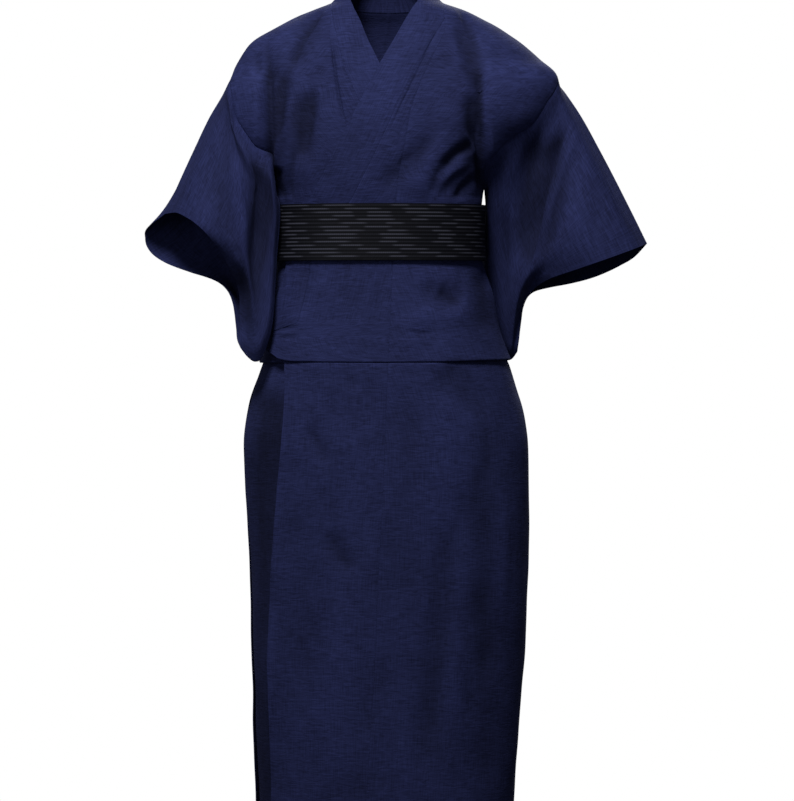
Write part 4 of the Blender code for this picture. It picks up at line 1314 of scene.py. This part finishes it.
class YUKATA_OT_overlap_strips(Operator):
    """Build the two front overlap strips"""
    bl_idname = "yukata.overlap_strips"
    bl_label = "Overlap Strips"

    def execute(self, context):
        for side in SIDES:
            finish_piece(overlap_strip(side), side + "_okumi", "cloth")
        return {"FINISHED"}


class YUKATA_OT_sleeves(Operator):
    """Build the two sleeves with their open cuffs"""
    bl_idname = "yukata.sleeves"
    bl_label = "Sleeves"

    def execute(self, context):
        for side in SIDES:
            finish_piece(sleeve(side), side + "_sleeve", "cloth")
        return {"FINISHED"}


class YUKATA_OT_collar(Operator):
    """Build the collar band"""
    bl_idname = "yukata.collar"
    bl_label = "Collar"

    def execute(self, context):
        finish_piece(collar_band(), "collar", "cloth")
        return {"FINISHED"}


class YUKATA_OT_belt(Operator):
    """Build the belt's turns, its knot and its two ends"""
    bl_idname = "yukata.belt"
    bl_label = "Belt"

    def execute(self, context):
        finish_piece(belt_turns(), "obi_band", "belt")
        for name, node, corners, lift, rows, cols, pinch in BACK_STRIPS:
            strip = back_strip(name, corners, lift, rows, cols, pinch)
            finish_piece(strip, node, "belt")
        return {"FINISHED"}


class YUKATA_OT_stage(Operator):
    """Build the floor, the lights, the world and the camera"""
    bl_idname = "yukata.stage"
    bl_label = "Stage"

    def execute(self, context):
        s = context.scene.yukata_stage
        scene = context.scene
        scene.view_settings.view_transform = "Standard"
        turn = np.linspace(0.0, 2 * np.pi, 97)[:-1]
        rim = np.stack([s.floor_radius * np.cos(turn), s.floor_radius * np.sin(turn),
                        np.full(turn.shape, FLOOR)], -1)
        mesh = bpy.data.meshes.new("floor")
        mesh.from_pydata(rim.tolist(), [], [tuple(range(len(rim)))])
        mesh.materials.append(floor_paint())
        floor = bpy.data.objects.new("floor", mesh)
        scene.collection.objects.link(floor)
        world = bpy.data.worlds.new("studio")
        scene.world = world
        world.use_nodes = True
        tree = world.node_tree
        tree.nodes.clear()
        seen = add(tree, "LightPath").outputs["Is Camera Ray"]
        fill = add(tree, "Background", {"Color": (0.92, 0.95, 1.0, 1.0), "Strength": 0.12})
        paper = add(tree, "Background", {"Color": (1.0, 1.0, 1.0, 1.0), "Strength": 1.0})
        both = add(tree, "MixShader", {0: seen, 1: fill, 2: paper})
        add(tree, "OutputWorld", {"Surface": both})
        for name, place, size, power in (
                ("key", (-0.5, -2.15, 2.35), 1.1, s.key_power),
                ("fill", (-2.4, -3.4, 0.3), 2.2, 0.10 * s.key_power),
                ("back", (0.6, 3.0, 1.6), 2.2, 0.8 * s.key_power)):
            lamp = bpy.data.lights.new(name, "AREA")
            lamp.shape, lamp.size, lamp.energy = "DISK", size, power
            thing = bpy.data.objects.new(name, lamp)
            thing.location = place
            aim = Vector((0.0, 0.0, -0.6)) - Vector(place)
            thing.rotation_euler = aim.to_track_quat("-Z", "Y").to_euler()
            scene.collection.objects.link(thing)
        tall, plane = PHOTO_HIGH * PIXEL, -0.06
        data = bpy.data.cameras.new("camera")
        data.lens = data.sensor_width * s.distance / tall
        data.clip_end = 60.0
        camera = bpy.data.objects.new("camera", data)
        aside = (PHOTO_WIDE / 2 - MIDDLE_COLUMN) * PIXEL
        camera.location = (aside, plane - s.distance, -0.5 * tall)
        camera.rotation_euler = (np.pi / 2, 0.0, 0.0)
        scene.collection.objects.link(camera)
        scene.camera = camera
        return {"FINISHED"}


class YUKATA_PT_panel(Panel):
    """Lists the settings and the pieces"""
    bl_idname = "YUKATA_PT_panel"
    bl_label = "Cotton Yukata"
    bl_space_type = "VIEW_3D"
    bl_region_type = "UI"
    bl_category = "Yukata"

    def draw(self, context):
        layout = self.layout
        s = context.scene
        for group in (s.yukata_cloth, s.yukata_belt, s.yukata_stage):
            box = layout.box()
            for name in group.bl_rna.properties.keys():
                if name not in ("rna_type", "name"):
                    box.prop(group, name)
        for step in STEPS:
            layout.operator(step.bl_idname)


STEPS = (YUKATA_OT_body_lengths, YUKATA_OT_overlap_strips, YUKATA_OT_sleeves, YUKATA_OT_collar,
         YUKATA_OT_belt, YUKATA_OT_stage)
CLASSES = (YukataClothSettings, YukataBeltSettings, YukataStageSettings, *STEPS, YUKATA_PT_panel)


def register():
    for kind in CLASSES:
        bpy.utils.register_class(kind)
    bpy.types.Scene.yukata_cloth = PointerProperty(type=YukataClothSettings)
    bpy.types.Scene.yukata_belt = PointerProperty(type=YukataBeltSettings)
    bpy.types.Scene.yukata_stage = PointerProperty(type=YukataStageSettings)


def unregister():
    del bpy.types.Scene.yukata_stage
    del bpy.types.Scene.yukata_belt
    del bpy.types.Scene.yukata_cloth
    for kind in reversed(CLASSES):
        bpy.utils.unregister_class(kind)


def main():
    register()
    bpy.ops.yukata.body_lengths()
    bpy.ops.yukata.overlap_strips()
    bpy.ops.yukata.sleeves()
    bpy.ops.yukata.collar()
    bpy.ops.yukata.belt()
    bpy.ops.yukata.stage()


if __name__ == "__main__":
    main()
